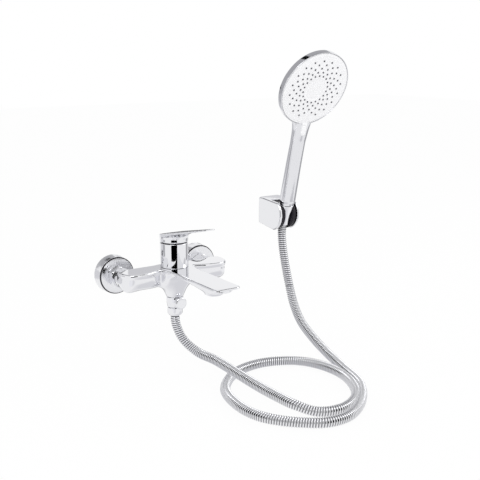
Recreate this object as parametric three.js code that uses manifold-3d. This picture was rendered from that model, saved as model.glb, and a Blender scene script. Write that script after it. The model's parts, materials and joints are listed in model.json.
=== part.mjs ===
// Wall mounted single-lever bath mixer with a shower hose, a hand shower and a wall holder.
// Millimetres. The wall is the plane Y = 0, the front is -Y and up is +Z.
// The origin lies on the wall, midway between the two inlets.
import * as THREE from 'three';
import { mergeVertices } from 'three/addons/utils/BufferGeometryUtils.js';
import { LoftGeometry } from 'three/addons/geometries/LoftGeometry.js';
import Module from 'manifold-3d';

const wasm = await Module();
wasm.setup();

// ---------------------------------------------------------------- driving dimensions
const clearance = 0.3; // gap left between neighbours, and radial gap of running fits
const pipeThreadRadius = 9.9; // G1/2 thread, drawn at its mean radius
const connectorThreadRadius = 13.2; // G3/4 thread
const waterwayRadius = 7.5;
const threadLength = 12;
const washerThickness = 2;

const inletSpacing = 150;
const stubReach = 15; // length of the connector inside the wall
const rosetteRadius = 29.5;
const rosetteFlare = 0.7; // how much wider the rosette is at the wall
const rosetteDepth = 21;
const rosetteWall = 1.2;
const unionNutFlats = 30;
const unionNutLength = 12.4;
const armRadius = 16;

const axisFromWall = 69; // dome axis to the wall
const deckHeight = 15.5;
const barHalfLength = 90.5;
const barHalfDepth = 20.5;
const barEndRadius = 22;
const barBackCorner = 8;
const columnRadius = 24.5; // round part of the casting under the dome
const bellHeight = 48.5; // deck to the lower end of the bell
const neckRadius = 13;
const spoutReach = 158; // dome axis to the spout's tip
const spoutHalfWidth = 22;
const spoutCornerRadius = 9;
const spoutEdge = 2.9;
const hullHalfWidth = 17;
const hullDepth = 17.3; // deck to the keel
const aeratorReach = 116; // dome axis to the aerator axis
const aeratorRadius = 11;
const aeratorHeight = 10;

const domeRadius = 22.1;
const domeWall = 1.2;
const domeHeight = 38.2;
const capGap = 1.8; // dark joint between the dome and the lever cap
const cartridgeRadius = 17.4;
const cartridgeWall = 1.6;
const cartridgeHeight = 35;
const discThickness = 3;
const movingDiscRadius = 9.2;
const stemHalf = 3.9;
const stemPinRadius = 1.5;
const leverPivotHeight = 38;
const leverReach = 107; // dome axis to the lever's tip
const leverTipWidth = 22;
const leverSlope = 0.216;
const leverRise = 13.3; // top of the lever above the deck side of the dome axis
const bladeThickness = 4;
const bladeTipThickness = 1.6;
const capWall = 1.7;
const leverLift = 20; // degrees

const collarRadius = 13.3;
const collarHeight = 16.4;
const collarFootRadius = 11.8;
const knobRadius = 9.6;
const knobDrop = 7.7; // top of the collar to the knob's axis
const knobThickness = 4;
const knobProud = 21; // dome axis to the knob's face
const knobTravel = 6;
const spindleRadius = 2.5;

const hoseRadius = 7;
const hoseSides = 8;
const hoseNutRadius = 11.8;
const hoseNutHeight = 13.2;

const holderAcross = 228; // holder centre, to the right of the inlets' middle
const holderWidth = 40;
const cheekThickness = 4;
const holderPivotFromWall = 37;
const holderPivotHeight = 71;
const shellNoseRadius = 28;
const shellTopSetback = 7; // front edge of the holder's top, behind its pivot
const drumRadius = 27;
const drumHeelRadius = 20;
const drumSlot = 15.4;
const trunnionRadius = 5;
const frictionWasher = 1;
const tiltBack = 15; // degrees
const tiltForward = 20; // degrees
const holderPlate = 3.5;
const wallScrewRadius = 2.2;
const wallScrewLength = 25;

const showerTilt = 15; // lean of the hand shower, degrees
const seatAhead = 12.4; // holder pivot to the cone nut's axis
const seatRise = 21.4; // holder pivot to the cone nut's top
const coneTopRadius = 12.5;
const coneBottomRadius = 9;
const coneHeight = 36;
const showerWall = 2;
const faceRadius = 61.7;
const faceRim = 1.8;
const faceTilt = 10.7; // face against the handle, degrees
const faceAlong = 207.7; // cone nut's top to the face centre, along the handle
const faceForward = 19.9;
const headDepth = 13.5;
const faceThickness = 3;
const waterTubeRadius = 4;
const waterTubeOffset = 2.2; // behind the handle's axis
const buttonWidth = 10.5;
const buttonLength = 18.4;
const buttonTravel = 3;

// ---------------------------------------------------------------- worked-out levels
const wallInletX = inletSpacing / 2;
const connectorEnd = rosetteDepth + 4;
const washerFront = connectorEnd + clearance + washerThickness;
const unionNutBack = rosetteDepth + clearance;
const unionNutFront = unionNutBack + unionNutLength;
const armBack = unionNutFront + clearance;
const barBack = -(axisFromWall - barHalfDepth);
const barFront = -(axisFromWall + barHalfDepth);
const domeBottom = deckHeight + clearance;
const domeTop = domeBottom + domeHeight;
const capBottom = domeTop + capGap;
const bellBottom = deckHeight - bellHeight;
const collarTop = bellBottom - clearance;
const collarBottom = collarTop - collarHeight;
const hoseNutTop = collarBottom - 1;
const hoseNutBottom = hoseNutTop - hoseNutHeight;
const aeratorY = -(axisFromWall + aeratorReach);
const spoutTip = -(axisFromWall + spoutReach);
const keel = deckHeight - hullDepth;
const pocketFloor = deckHeight - 7.5;
const cartridgeBottom = pocketFloor + clearance;
const cartridgeTop = cartridgeBottom + cartridgeHeight;
const neckTop = cartridgeTop - 3;

const UP = new THREE.Vector3(0, 0, 1);
const FRONT = new THREE.Vector3(0, -1, 0);
const SIDE = new THREE.Vector3(1, 0, 0);

// ---------------------------------------------------------------- materials
const finish = (color, roughness, metalness) => new THREE.MeshStandardMaterial({ color, roughness, metalness });
const chrome = finish(0xd9dbe0, 0.12, 1);
const brass = finish(0xb08d4a, 0.35, 1);
const steel = finish(0x9a9ca0, 0.3, 1);
const ceramic = finish(0xf2f0ea, 0.25, 0);
const whitePlastic = finish(0xf4f4f8, 0.3, 0);
const greyPlastic = finish(0x9b9ca2, 0.5, 0);
const blackPlastic = finish(0x25232a, 0.35, 0);
const rubber = finish(0x1d1d1f, 0.8, 0);

// ---------------------------------------------------------------- shape helpers
/** Shares the vertices of a closed geometry and drops the slivers where it meets its own axis. */
function welded(geometry) {
  const bare = new THREE.BufferGeometry();
  bare.setAttribute('position', geometry.attributes.position);
  bare.setIndex(geometry.index);
  const merged = mergeVertices(bare);
  const kept = [];
  const index = merged.index.array;
  for (let i = 0; i < index.length; i += 3) {
    const [a, b, c] = [index[i], index[i + 1], index[i + 2]];
    if (a !== b && b !== c && c !== a) kept.push(a, b, c);
  }
  merged.setIndex(kept);
  return merged;
}

/** Makes a solid, for joining and cutting, from a welded geometry. */
function solidOf(geometry) {
  const vertProperties = new Float32Array(geometry.attributes.position.array);
  const triVerts = new Uint32Array(geometry.index.array);
  return new wasm.Manifold(new wasm.Mesh({ numProp: 3, vertProperties, triVerts }));
}

/** Turns a closed [radius, height] outline about a line; heights run along `along` from `at`. */
function turned(outline, { segments = 28, along = UP, at = [0, 0, 0] } = {}) {
  const crossed = outline.reduce((sum, [r, h], i) => {
    const [nextR, nextH] = outline[(i + 1) % outline.length];
    return sum + r * nextH - nextR * h;
  }, 0);
  const points = outline.map(([r, h]) => new THREE.Vector2(r, h));
  if (crossed < 0) points.reverse();
  if (points[0].x !== 0 || points[points.length - 1].x !== 0) points.push(points[0].clone());
  const geometry = welded(new THREE.LatheGeometry(points, segments));
  geometry.applyQuaternion(new THREE.Quaternion().setFromUnitVectors(new THREE.Vector3(0, 1, 0), along));
  geometry.translate(...at);
  return solidOf(geometry);
}

/** Round bar or drilled hole: radius `r` between heights `from` and `to` along a line. */
function rod(r, from, to, options) {
  return turned([[0, from], [r, from], [r, to], [0, to]], options);
}

/** Round sleeve with outer radius `r` and bore `bore`. */
function sleeve(r, bore, from, to, options) {
  return turned([[bore, from], [r, from], [r, to], [bore, to]], options);
}

/** Straight prism of an outline: (x, y) along z, (y, z) along x, or (x, z) along y. */
function prism(outline, axis, from, to, curveSegments = 6) {
  const shape = Array.isArray(outline)
    ? new THREE.Shape(outline.map(([a, b]) => new THREE.Vector2(a, b)))
    : outline;
  const geometry = welded(new THREE.ExtrudeGeometry(shape, { depth: to - from, bevelEnabled: false, curveSegments }));
  const placed = new THREE.Matrix4();
  if (axis === 'x') placed.makeBasis(new THREE.Vector3(0, 1, 0), UP, SIDE).setPosition(from, 0, 0);
  if (axis === 'y') placed.makeBasis(SIDE, UP, FRONT).setPosition(0, to, 0);
  if (axis === 'z') placed.setPosition(0, 0, from);
  return solidOf(geometry.applyMatrix4(placed));
}

/** Upright box between two corners. */
function block([x0, y0, z0], [x1, y1, z1]) {
  const geometry = welded(new THREE.BoxGeometry(x1 - x0, y1 - y0, z1 - z0));
  geometry.translate((x0 + x1) / 2, (y0 + y1) / 2, (z0 + z1) / 2);
  return solidOf(geometry);
}

/** Rectangle with four rounded corners. */
function roundedRectangle(x0, y0, x1, y1, r) {
  const shape = new THREE.Shape();
  shape.moveTo(x0, y0 + r).absarc(x0 + r, y0 + r, r, Math.PI, 1.5 * Math.PI);
  shape.lineTo(x1 - r, y0).absarc(x1 - r, y0 + r, r, 1.5 * Math.PI, 2 * Math.PI);
  shape.lineTo(x1, y1 - r).absarc(x1 - r, y1 - r, r, 0, 0.5 * Math.PI);
  shape.lineTo(x0 + r, y1).absarc(x0 + r, y1 - r, r, 0.5 * Math.PI, Math.PI);
  return shape;
}

/** Regular hexagon with the given width across flats. */
function hexagon(flats) {
  const corner = flats / Math.sqrt(3);
  return Array.from({ length: 6 }, (_, i) => {
    const angle = (i * Math.PI) / 3;
    return [corner * Math.cos(angle), corner * Math.sin(angle)];
  });
}

/** Tube of a round section with flat ends along a smooth route. */
function tube(points, radius, { sides = hoseSides, steps = 40, tension = 0.5 } = {}) {
  const route = new THREE.CatmullRomCurve3(points, false, 'centripetal', tension);
  const section = new THREE.Shape(
    Array.from({ length: sides }, (_, i) => {
      const angle = (i * 2 * Math.PI) / sides;
      return new THREE.Vector2(radius * Math.cos(angle), radius * Math.sin(angle));
    }),
  );
  return solidOf(welded(new THREE.ExtrudeGeometry(section, { extrudePath: route, steps, bevelEnabled: false })));
}

const faucet = new THREE.Group();

/** Adds one named sub-part to a group. */
function add(name, solid, material, group = faucet) {
  const mesh = solid.getMesh();
  const geometry = new THREE.BufferGeometry();
  geometry.setAttribute('position', new THREE.BufferAttribute(new Float32Array(mesh.vertProperties), 3));
  geometry.setIndex([...mesh.triVerts]);
  geometry.computeVertexNormals();
  const part = new THREE.Mesh(geometry, material);
  part.name = name;
  group.add(part);
  return part;
}

// ---------------------------------------------------------------- wall connection, both sides
for (const [side, x] of [['left', -wallInletX], ['right', wallInletX]]) {
  const line = { along: FRONT, at: [x, 0, 0] };
  const connector = turned([
    [waterwayRadius, -stubReach], [pipeThreadRadius, -stubReach], [pipeThreadRadius, 4],
    [connectorThreadRadius, 4], [connectorThreadRadius, connectorEnd], [waterwayRadius, connectorEnd],
  ], { ...line, segments: 20 });
  add(`s_union_${side}`, connector, brass);

  const holeRadius = connectorThreadRadius + clearance;
  const backRadius = rosetteRadius + rosetteFlare;
  const rosette = turned([
    [backRadius - rosetteWall, clearance], [backRadius, clearance],
    [rosetteRadius, rosetteDepth - 0.8], [rosetteRadius - 0.8, rosetteDepth],
    [holeRadius, rosetteDepth], [holeRadius, rosetteDepth - 3.5], [holeRadius + 2, rosetteDepth - 3.5],
    [holeRadius + 2, rosetteDepth - rosetteWall], [rosetteRadius - rosetteWall, rosetteDepth - rosetteWall],
  ], { ...line, segments: 36 });
  add(`rosette_${side}`, rosette, chrome);

  const nippleRadius = connectorThreadRadius - 2.4;
  const collarBack = washerFront + clearance;
  const collarFront = collarBack + 2.4;
  const hexPrism = prism(hexagon(unionNutFlats), 'z', unionNutBack, unionNutFront);
  const nutRound = turned([
    [0, unionNutBack], [unionNutFlats / 2, unionNutBack], [unionNutFlats / 2 + 2, unionNutBack + 1.2],
    [unionNutFlats / 2 + 2, unionNutFront - 1.2], [unionNutFlats / 2, unionNutFront], [0, unionNutFront],
  ], { segments: 24 });
  const nutBore = turned([
    [0, unionNutBack - 1], [connectorThreadRadius + clearance, unionNutBack - 1],
    [connectorThreadRadius + clearance, collarFront + clearance], [nippleRadius + clearance, collarFront + clearance],
    [nippleRadius + clearance, unionNutFront + 1], [0, unionNutFront + 1],
  ], { segments: 24 });
  const nut = add(`union_nut_${side}`, hexPrism.intersect(nutRound).subtract(nutBore), chrome);
  nut.position.set(x, 0, 0);
  nut.rotation.set(Math.PI / 2, 0, 0);

  const filter = sleeve(connectorThreadRadius - 0.4, waterwayRadius, connectorEnd + clearance, washerFront,
    { ...line, segments: 20 });
  add(`filter_washer_${side}`, filter, rubber);

  const nipple = turned([
    [waterwayRadius, collarBack], [connectorThreadRadius - 0.3, collarBack],
    [connectorThreadRadius - 0.3, collarFront], [nippleRadius, collarFront],
    [nippleRadius, armBack + threadLength], [waterwayRadius, armBack + threadLength],
  ], { ...line, segments: 20 });
  add(`inlet_nipple_${side}`, nipple, brass);
}

// ---------------------------------------------------------------- mixer body
/** Plan of the casting: round-ended bar that narrows to the column, and the spout's deck. */
function bodyPlan() {
  const side = (sign) => {
    const end = sign * (barHalfLength - barEndRadius);
    const waist = { x: sign * (columnRadius + 5.5), y: -axisFromWall - 7 };
    const flank = sign * columnRadius;
    const straight = -axisFromWall - 56;
    return { end, waist, flank, straight, edge: sign * spoutHalfWidth };
  };
  const plan = new THREE.Shape();
  const left = side(-1);
  const right = side(1);
  const back = barHalfLength - barBackCorner;
  const tip = spoutHalfWidth - spoutCornerRadius;
  plan.moveTo(-back, barBack);
  plan.absarc(-back, barBack - barBackCorner, barBackCorner, 0.5 * Math.PI, Math.PI);
  plan.lineTo(-barHalfLength, barFront + barEndRadius);
  plan.absarc(left.end, barFront + barEndRadius, barEndRadius, Math.PI, 1.5 * Math.PI);
  plan.bezierCurveTo(left.end + 14, barFront, left.waist.x - 12, left.waist.y - 7, left.waist.x, left.waist.y);
  plan.quadraticCurveTo(left.flank - 0.5, left.waist.y + 3, left.flank, left.waist.y - 9);
  plan.bezierCurveTo(left.flank, left.straight + 28, left.edge, left.straight + 16, left.edge, left.straight);
  plan.lineTo(left.edge, spoutTip + spoutCornerRadius);
  plan.absarc(-tip, spoutTip + spoutCornerRadius, spoutCornerRadius, Math.PI, 1.5 * Math.PI);
  plan.lineTo(tip, spoutTip);
  plan.absarc(tip, spoutTip + spoutCornerRadius, spoutCornerRadius, 1.5 * Math.PI, 2 * Math.PI);
  plan.lineTo(right.edge, right.straight);
  plan.bezierCurveTo(right.edge, right.straight + 16, right.flank, right.straight + 28, right.flank, right.waist.y - 9);
  plan.quadraticCurveTo(right.flank + 0.5, right.waist.y + 3, right.waist.x, right.waist.y);
  plan.bezierCurveTo(right.waist.x + 12, right.waist.y - 7, right.end - 14, barFront, right.end, barFront);
  plan.absarc(right.end, barFront + barEndRadius, barEndRadius, 1.5 * Math.PI, 2 * Math.PI);
  plan.lineTo(barHalfLength, barBack - barBackCorner);
  plan.absarc(back, barBack - barBackCorner, barBackCorner, 0, 0.5 * Math.PI);
  return plan;
}

/** Section of the bar: flat deck, upright sides and a round belly. */
function barSection() {
  const bellyCentre = deckHeight - 8.9;
  const section = new THREE.Shape();
  section.moveTo(barFront, deckHeight).lineTo(barFront, bellyCentre);
  section.absarc(-axisFromWall, bellyCentre, barHalfDepth, Math.PI, 2 * Math.PI);
  section.lineTo(barBack, deckHeight);
  return section;
}

/** Boat-shaped hull under the flat spout, with a round boss for the aerator. */
function spoutHull() {
  const top = deckHeight - spoutEdge + 0.1;
  const hullSide = 7.5; // deck to the lower edge of the hull's upright sides
  const nose = aeratorY - 37;
  const side = new THREE.Shape();
  side.moveTo(barFront + 8, top).lineTo(barFront + 8, deckHeight - 10);
  side.bezierCurveTo(aeratorY + 50, deckHeight - 9.5, aeratorY + 30, keel + 3, aeratorY + 10, keel);
  side.lineTo(aeratorY - 8, keel);
  side.bezierCurveTo(aeratorY - 16, keel + 1, aeratorY - 26, deckHeight - 9, nose, top);
  const front = new THREE.Shape();
  front.moveTo(-hullHalfWidth, top).lineTo(-hullHalfWidth, deckHeight - hullSide);
  front.absellipse(0, deckHeight - hullSide, hullHalfWidth, hullDepth - hullSide, Math.PI, 2 * Math.PI);
  front.lineTo(hullHalfWidth, top);
  const plan = new THREE.Shape();
  plan.moveTo(hullHalfWidth, barFront + 9).lineTo(-hullHalfWidth, barFront + 9);
  plan.lineTo(-hullHalfWidth, nose + hullHalfWidth);
  plan.absarc(0, nose + hullHalfWidth, hullHalfWidth, Math.PI, 2 * Math.PI);
  const boss = rod(aeratorRadius + clearance + 1.5, keel, top, { at: [0, aeratorY, 0], segments: 24 });
  return prism(side, 'x', -hullHalfWidth, hullHalfWidth)
    .intersect(prism(front, 'y', spoutTip, barFront + 8))
    .intersect(prism(plan, 'z', keel - 1, deckHeight))
    .add(boss);
}

/** Bell that carries the shower outlet, with shoulders that run out along the bar. */
function bell() {
  const turn = turned([
    [0, deckHeight - 1], [columnRadius, deckHeight - 1], [columnRadius - 1.5, -6], [21.4, -12], [17.6, -22],
    [14.8, -28], [neckRadius + 0.4, bellBottom + 1.4], [neckRadius, bellBottom], [0, bellBottom],
  ], { at: [0, -axisFromWall, 0] });
  const shoulders = turned([[0, 0], [46, 0], [44, -12], [34, -14.5], [28, -18], [23, -23], [0, -23]],
    { at: [0, -axisFromWall, 0] });
  return turn.add(shoulders.intersect(block([-50, barFront + 1, -40], [50, barBack - 1, 40])));
}

const axis = { at: [0, -axisFromWall, 0] };
const plan = bodyPlan();
const pocketRadius = cartridgeRadius + clearance;
const nutThreadRadius = pocketRadius + 1.5;
const neckOuterRadius = domeRadius - domeWall - 0.5;
const outletThreadTop = collarTop + threadLength;
const outletBore = 6;
const waterwayBore = 5; // cross bores from the arms to the cartridge
const portReach = 9; // ports of the cartridge, from its axis
const channelTop = deckHeight - 2.8;
const aeratorTop = keel - 1.2 + aeratorHeight;

function mixerBody() {
  let body = prism(barSection(), 'x', -barHalfLength, barHalfLength)
    .add(prism(plan, 'z', deckHeight - spoutEdge, deckHeight));
  body = body.intersect(prism(plan, 'z', -60, deckHeight));
  body = body.add(spoutHull()).add(bell());
  body = body.add(rod(neckOuterRadius, 0, neckTop, axis));
  for (const x of [-wallInletX, wallInletX]) {
    const arm = rod(armRadius, armBack, axisFromWall, { along: FRONT, at: [x, 0, 0] });
    body = body.add(arm.intersect(block([x - 20, -axisFromWall - 1, -20], [x + 20, -armBack + 1, deckHeight])));
  }
  for (const x of [-wallInletX, wallInletX]) {
    const line = { along: FRONT, at: [x, 0, 0], segments: 20 };
    const socket = connectorThreadRadius - 2.4 + clearance;
    const side = Math.sign(x);
    body = body.subtract(turned([
      [0, armBack - 1], [socket, armBack - 1], [socket, armBack + threadLength + clearance],
      [waterwayRadius, armBack + threadLength + clearance], [waterwayRadius, axisFromWall], [0, axisFromWall + 5],
    ], line));
    body = body.subtract(rod(waterwayBore, portReach, wallInletX, { along: SIDE.clone().multiplyScalar(side),
      at: [0, -axisFromWall, 0], segments: 16 }));
    body = body.subtract(rod(3.5, -1, pocketFloor + 1, { at: [portReach * side, -axisFromWall, 0], segments: 16 }));
  }
  body = body.subtract(turned([
    [0, pocketFloor], [pocketRadius, pocketFloor], [pocketRadius, neckTop - 6], [nutThreadRadius, neckTop - 6],
    [nutThreadRadius, neckTop + 1], [0, neckTop + 1],
  ], axis));
  const outletY = -axisFromWall - portReach;
  body = body.subtract(rod(4, -20, pocketFloor + 1, { at: [0, outletY, 0], segments: 16 }));
  body = body.subtract(turned([
    [0, bellBottom - 1], [pipeThreadRadius + clearance, bellBottom - 1],
    [pipeThreadRadius + clearance, outletThreadTop + clearance], [8, outletThreadTop + clearance], [8, -16], [0, -16],
  ], { ...axis, segments: 20 }));
  body = body.subtract(block([-7, aeratorY, channelTop - 4], [7, outletY, channelTop]));
  return body.subtract(turned([
    [0, keel - 3], [aeratorRadius + clearance, keel - 3], [aeratorRadius + clearance, aeratorTop + clearance],
    [8.5, aeratorTop + clearance], [8.5, channelTop], [0, channelTop],
  ], { at: [0, aeratorY, 0], segments: 24 }));
}
add('mixer_body', mixerBody(), chrome);

// ---------------------------------------------------------------- aerator
const spoutAxis = { at: [0, aeratorY, 0], segments: 24 };
const aeratorBottom = aeratorTop - aeratorHeight;
add('aerator_housing', turned([
  [aeratorRadius - 2.5, aeratorBottom], [aeratorRadius, aeratorBottom], [aeratorRadius, aeratorTop - 2.3],
  [aeratorRadius - 1.2, aeratorTop - 2.3], [aeratorRadius - 1.2, aeratorBottom + 1.2],
  [aeratorRadius - 2.5, aeratorBottom + 1.2],
], spoutAxis), chrome);
const screen = rod(aeratorRadius - 1.5, aeratorBottom + 1.5, aeratorTop - 2.3, spoutAxis);
const screenHoles = Array.from({ length: 4 }, (_, i) => {
  const angle = (i * Math.PI) / 2;
  return rod(1.6, aeratorBottom, aeratorTop, {
    at: [5.2 * Math.cos(angle), aeratorY + 5.2 * Math.sin(angle), 0], segments: 8,
  });
});
add('aerator_insert', screenHoles.reduce((insert, hole) => insert.subtract(hole), screen), greyPlastic);
add('aerator_seal', sleeve(aeratorRadius - 0.2, 8.5, aeratorTop - 2, aeratorTop, spoutAxis), rubber);

// ---------------------------------------------------------------- cartridge
const cartridgeFloor = cartridgeBottom + 3;
const fixedDiscTop = cartridgeFloor + clearance + discThickness;
const movingDiscBottom = fixedDiscTop + clearance;
const movingDiscTop = movingDiscBottom + 5;
const guideBottom = leverPivotHeight - 4;
const guideShoulder = cartridgeTop - 2.4;
const guideTop = cartridgeTop + 1.4;
const liftRadians = THREE.MathUtils.degToRad(leverLift);
const stemBall = 2.2;
const stemFoot = movingDiscTop - 0.2; // centre of the stem's ball

const ports = (from, to) => [[-portReach, 0], [portReach, 0], [0, -portReach]].map(([x, y]) =>
  rod(3.2, from, to, { at: [x, -axisFromWall + y, 0], segments: 16 }));
const drilled = (solid, from, to) => ports(from, to).reduce((rest, port) => rest.subtract(port), solid);

const cartridgeCup = turned([
  [0, cartridgeBottom], [cartridgeRadius, cartridgeBottom], [cartridgeRadius, cartridgeTop],
  [cartridgeRadius - cartridgeWall, cartridgeTop], [cartridgeRadius - cartridgeWall, cartridgeFloor],
  [0, cartridgeFloor],
], axis);
add('cartridge_body', drilled(cartridgeCup, cartridgeBottom - 1, cartridgeFloor + 1), greyPlastic);
const discRadius = cartridgeRadius - cartridgeWall - clearance;
const fixedDisc = rod(discRadius, cartridgeFloor + clearance, fixedDiscTop, axis);
add('ceramic_disc_fixed', drilled(fixedDisc, cartridgeFloor, fixedDiscTop + 1), ceramic);

const ballSlot = stemBall + 0.6;
const movingDisc = rod(movingDiscRadius, movingDiscBottom, movingDiscTop, { ...axis, segments: 24 })
  .subtract(block([-4.5, -axisFromWall - 7, movingDiscBottom - 1], [4.5, -axisFromWall + 1, movingDiscBottom + 1.2]))
  .subtract(block([-ballSlot, -axisFromWall - ballSlot, stemFoot - stemBall - 0.4],
    [ballSlot, -axisFromWall + ballSlot, movingDiscTop + 1]));
add('ceramic_disc_moving', movingDisc, ceramic);

const stemSlotFront = stemHalf + 2.5;
const stemSlotRear = (guideTop - leverPivotHeight) * Math.sin(liftRadians) + stemHalf / Math.cos(liftRadians) + 0.7;
const guide = turned([
  [0, guideBottom], [discRadius, guideBottom], [discRadius, guideShoulder], [cartridgeRadius - 4.7, guideShoulder],
  [cartridgeRadius - 4.7, guideTop], [0, guideTop],
], axis).subtract(block(
  [-stemHalf - clearance, -axisFromWall - stemSlotFront, guideBottom - 1],
  [stemHalf + clearance, -axisFromWall + stemSlotRear, guideTop + 1],
)).subtract(rod(stemPinRadius + clearance, -discRadius - 1, discRadius + 1, {
  along: SIDE, at: [0, -axisFromWall, leverPivotHeight], segments: 12,
}));
add('cartridge_guide', guide, greyPlastic);
add('stem_pin', rod(stemPinRadius, -discRadius + 0.5, discRadius - 0.5, {
  along: SIDE, at: [0, -axisFromWall, leverPivotHeight], segments: 12,
}), steel);

const hubTop = capBottom + 5.7;
const stem = block([-stemHalf, -axisFromWall - stemHalf, leverPivotHeight - 5],
  [stemHalf, -axisFromWall + stemHalf, hubTop - clearance])
  .add(rod(1.8, stemFoot, leverPivotHeight, { ...axis, segments: 12 }))
  .add(turned([
    [0, stemFoot - stemBall], [0.7 * stemBall, stemFoot - 0.7 * stemBall], [stemBall, stemFoot],
    [0.7 * stemBall, stemFoot + 0.7 * stemBall], [0, stemFoot + stemBall],
  ], { ...axis, segments: 12 }))
  .subtract(rod(stemPinRadius + clearance, -9, 9, {
    along: SIDE, at: [0, -axisFromWall, leverPivotHeight], segments: 12,
  }));
add('cartridge_stem', stem, steel);

add('cartridge_nut', turned([
  [cartridgeRadius - 4.4, cartridgeTop + clearance], [nutThreadRadius - clearance, cartridgeTop + clearance],
  [nutThreadRadius - clearance, cartridgeTop + 5], [cartridgeRadius - 4.4, cartridgeTop + 5],
], axis), brass);

// ---------------------------------------------------------------- dome sleeve
const domeInner = domeRadius - domeWall;
const domeMouth = 14.5;
add('dome_sleeve', turned([
  [domeInner, domeBottom], [domeRadius, domeBottom], [domeRadius, domeTop - 1.1],
  [domeRadius - 0.35, domeTop - 0.35], [domeRadius - 1.1, domeTop], [domeMouth, domeTop],
  [domeMouth, domeTop - domeWall], [domeInner, domeTop - domeWall],
], { ...axis, segments: 48 }), chrome);

// ---------------------------------------------------------------- lever
const leverTop = (y) => capBottom + leverRise - leverSlope * (y + axisFromWall);
const leverTip = -axisFromWall - leverReach;
const screwHeight = hubTop - 2.6;
const leverScrewRadius = 2.2;
const leverScrewReach = 7.2; // lever axis to the screw's outer end
const plugRadius = 2.4;

/** Plan of the lever: the cap's circle drawn out to a narrow rounded tip. */
function leverPlan() {
  const half = leverTipWidth / 2;
  const corner = 6;
  const lean = Math.atan2(domeRadius - half, leverReach);
  const shape = new THREE.Shape();
  shape.moveTo(-half, leverTip + corner).absarc(-half + corner, leverTip + corner, corner, Math.PI, 1.5 * Math.PI);
  shape.lineTo(half - corner, leverTip).absarc(half - corner, leverTip + corner, corner, 1.5 * Math.PI, 2 * Math.PI);
  shape.absarc(0, -axisFromWall, domeRadius, -lean, Math.PI + lean);
  return shape;
}

function leverSolid() {
  const capFront = -axisFromWall - domeRadius;
  const under = (y) => {
    const share = (y - leverTip) / (capFront - 6 - leverTip);
    return leverTop(y) - bladeTipThickness - (bladeThickness - bladeTipThickness) * share;
  };
  const blade = new THREE.Shape();
  blade.moveTo(-axisFromWall, capBottom + 5).lineTo(capFront + 3, capBottom + 5);
  blade.lineTo(capFront + 3, under(capFront + 3)).lineTo(leverTip - 1, under(leverTip - 1));
  blade.lineTo(leverTip - 1, leverTop(leverTip - 1)).lineTo(-axisFromWall, leverTop(-axisFromWall));
  const outline = prism(leverPlan(), 'z', capBottom, capBottom + 60, 20);
  const cap = rod(domeRadius, capBottom, capBottom + 30, { ...axis, segments: 48 });
  const belowTop = [
    [leverTip - 2, capBottom - 1], [leverTip - 2, leverTop(leverTip - 2)],
    [-axisFromWall + 30, leverTop(-axisFromWall + 30)], [-axisFromWall + 30, capBottom - 1],
  ];
  const flare = turned([
    [0, capBottom + 6], [domeRadius, capBottom + 6], [domeRadius + 1.2, capBottom + 10],
    [domeRadius + 4, capBottom + 12.8], [domeRadius + 9, capBottom + 15.2], [domeRadius + 9, capBottom + 30],
    [0, capBottom + 30],
  ], { ...axis, segments: 48 });
  const outer = prism(blade, 'x', -40, 40).add(flare).intersect(outline).add(cap)
    .intersect(prism(belowTop, 'x', -40, 40));
  const hollow = rod(domeRadius - capWall, capBottom - 1, hubTop, { ...axis, segments: 48 })
    .subtract(rod(7.5, domeTop - 5, hubTop + 1, { ...axis, segments: 20 }));
  const hub = rod(7.5, domeTop - 4, hubTop + 0.2, { ...axis, segments: 20 });
  const stemHole = block(
    [-stemHalf - clearance, -axisFromWall - stemHalf - clearance, domeTop - 6],
    [stemHalf + clearance, -axisFromWall + stemHalf + clearance, hubTop],
  );
  const rear = { along: FRONT.clone().negate(), at: [0, -axisFromWall, screwHeight], segments: 12 };
  return outer.subtract(hollow).add(hub).subtract(stemHole)
    .subtract(rod(leverScrewRadius + clearance, stemHalf, leverScrewReach + 1.8, rear))
    .subtract(rod(plugRadius + clearance, domeRadius - capWall - 8, domeRadius + 1, rear));
}
add('lever', leverSolid(), chrome);
const rearLine = { along: FRONT.clone().negate(), at: [0, -axisFromWall, screwHeight], segments: 12 };
add('lever_screw', rod(leverScrewRadius, stemHalf + clearance, leverScrewReach, rearLine), steel);
add('lever_plug', rod(plugRadius, domeRadius - capWall - 0.2, domeRadius - 0.1, rearLine), greyPlastic);

// ---------------------------------------------------------------- diverter and shower outlet
const knobHeight = collarTop - knobDrop;
const chamberRadius = 5.6;
const chamberFront = 9;
const gland = { along: FRONT, at: [0, -axisFromWall, knobHeight], segments: 16 };
const collar = turned([
  [outletBore, outletThreadTop], [pipeThreadRadius, outletThreadTop], [pipeThreadRadius, collarTop],
  [collarRadius, collarTop], [collarRadius, collarTop - collarHeight / 2], [collarFootRadius, collarBottom],
  [pipeThreadRadius, collarBottom], [pipeThreadRadius, collarBottom - 7], [outletBore, collarBottom - 7],
], axis)
  .subtract(rod(chamberRadius, -6.5, chamberFront, gland))
  .subtract(rod(spindleRadius + clearance, chamberFront - 1, collarRadius + 1, gland));
add('diverter_collar', collar, chrome);
const valveFront = -2.5;
const spindle = rod(spindleRadius, valveFront, knobProud - 2, gland)
  .add(rod(chamberRadius - 0.5, valveFront - 1.6, valveFront, gland));
add('diverter_spindle', spindle, brass);
const sealBack = chamberFront - 1.8;
add('diverter_seal', sleeve(chamberRadius - clearance, spindleRadius + clearance, sealBack, chamberFront - clearance,
  gland), rubber);
const knobBack = knobProud - knobThickness;
add('diverter_knob', turned([
  [0, knobProud], [knobRadius - 1.2, knobProud], [knobRadius, knobProud - 1.2], [knobRadius, knobBack + 0.8],
  [knobRadius - 0.8, knobBack], [spindleRadius + clearance, knobBack],
  [spindleRadius + clearance, knobProud - 2 + clearance], [0, knobProud - 2 + clearance],
], { ...gland, segments: 28 }), chrome);
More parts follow.
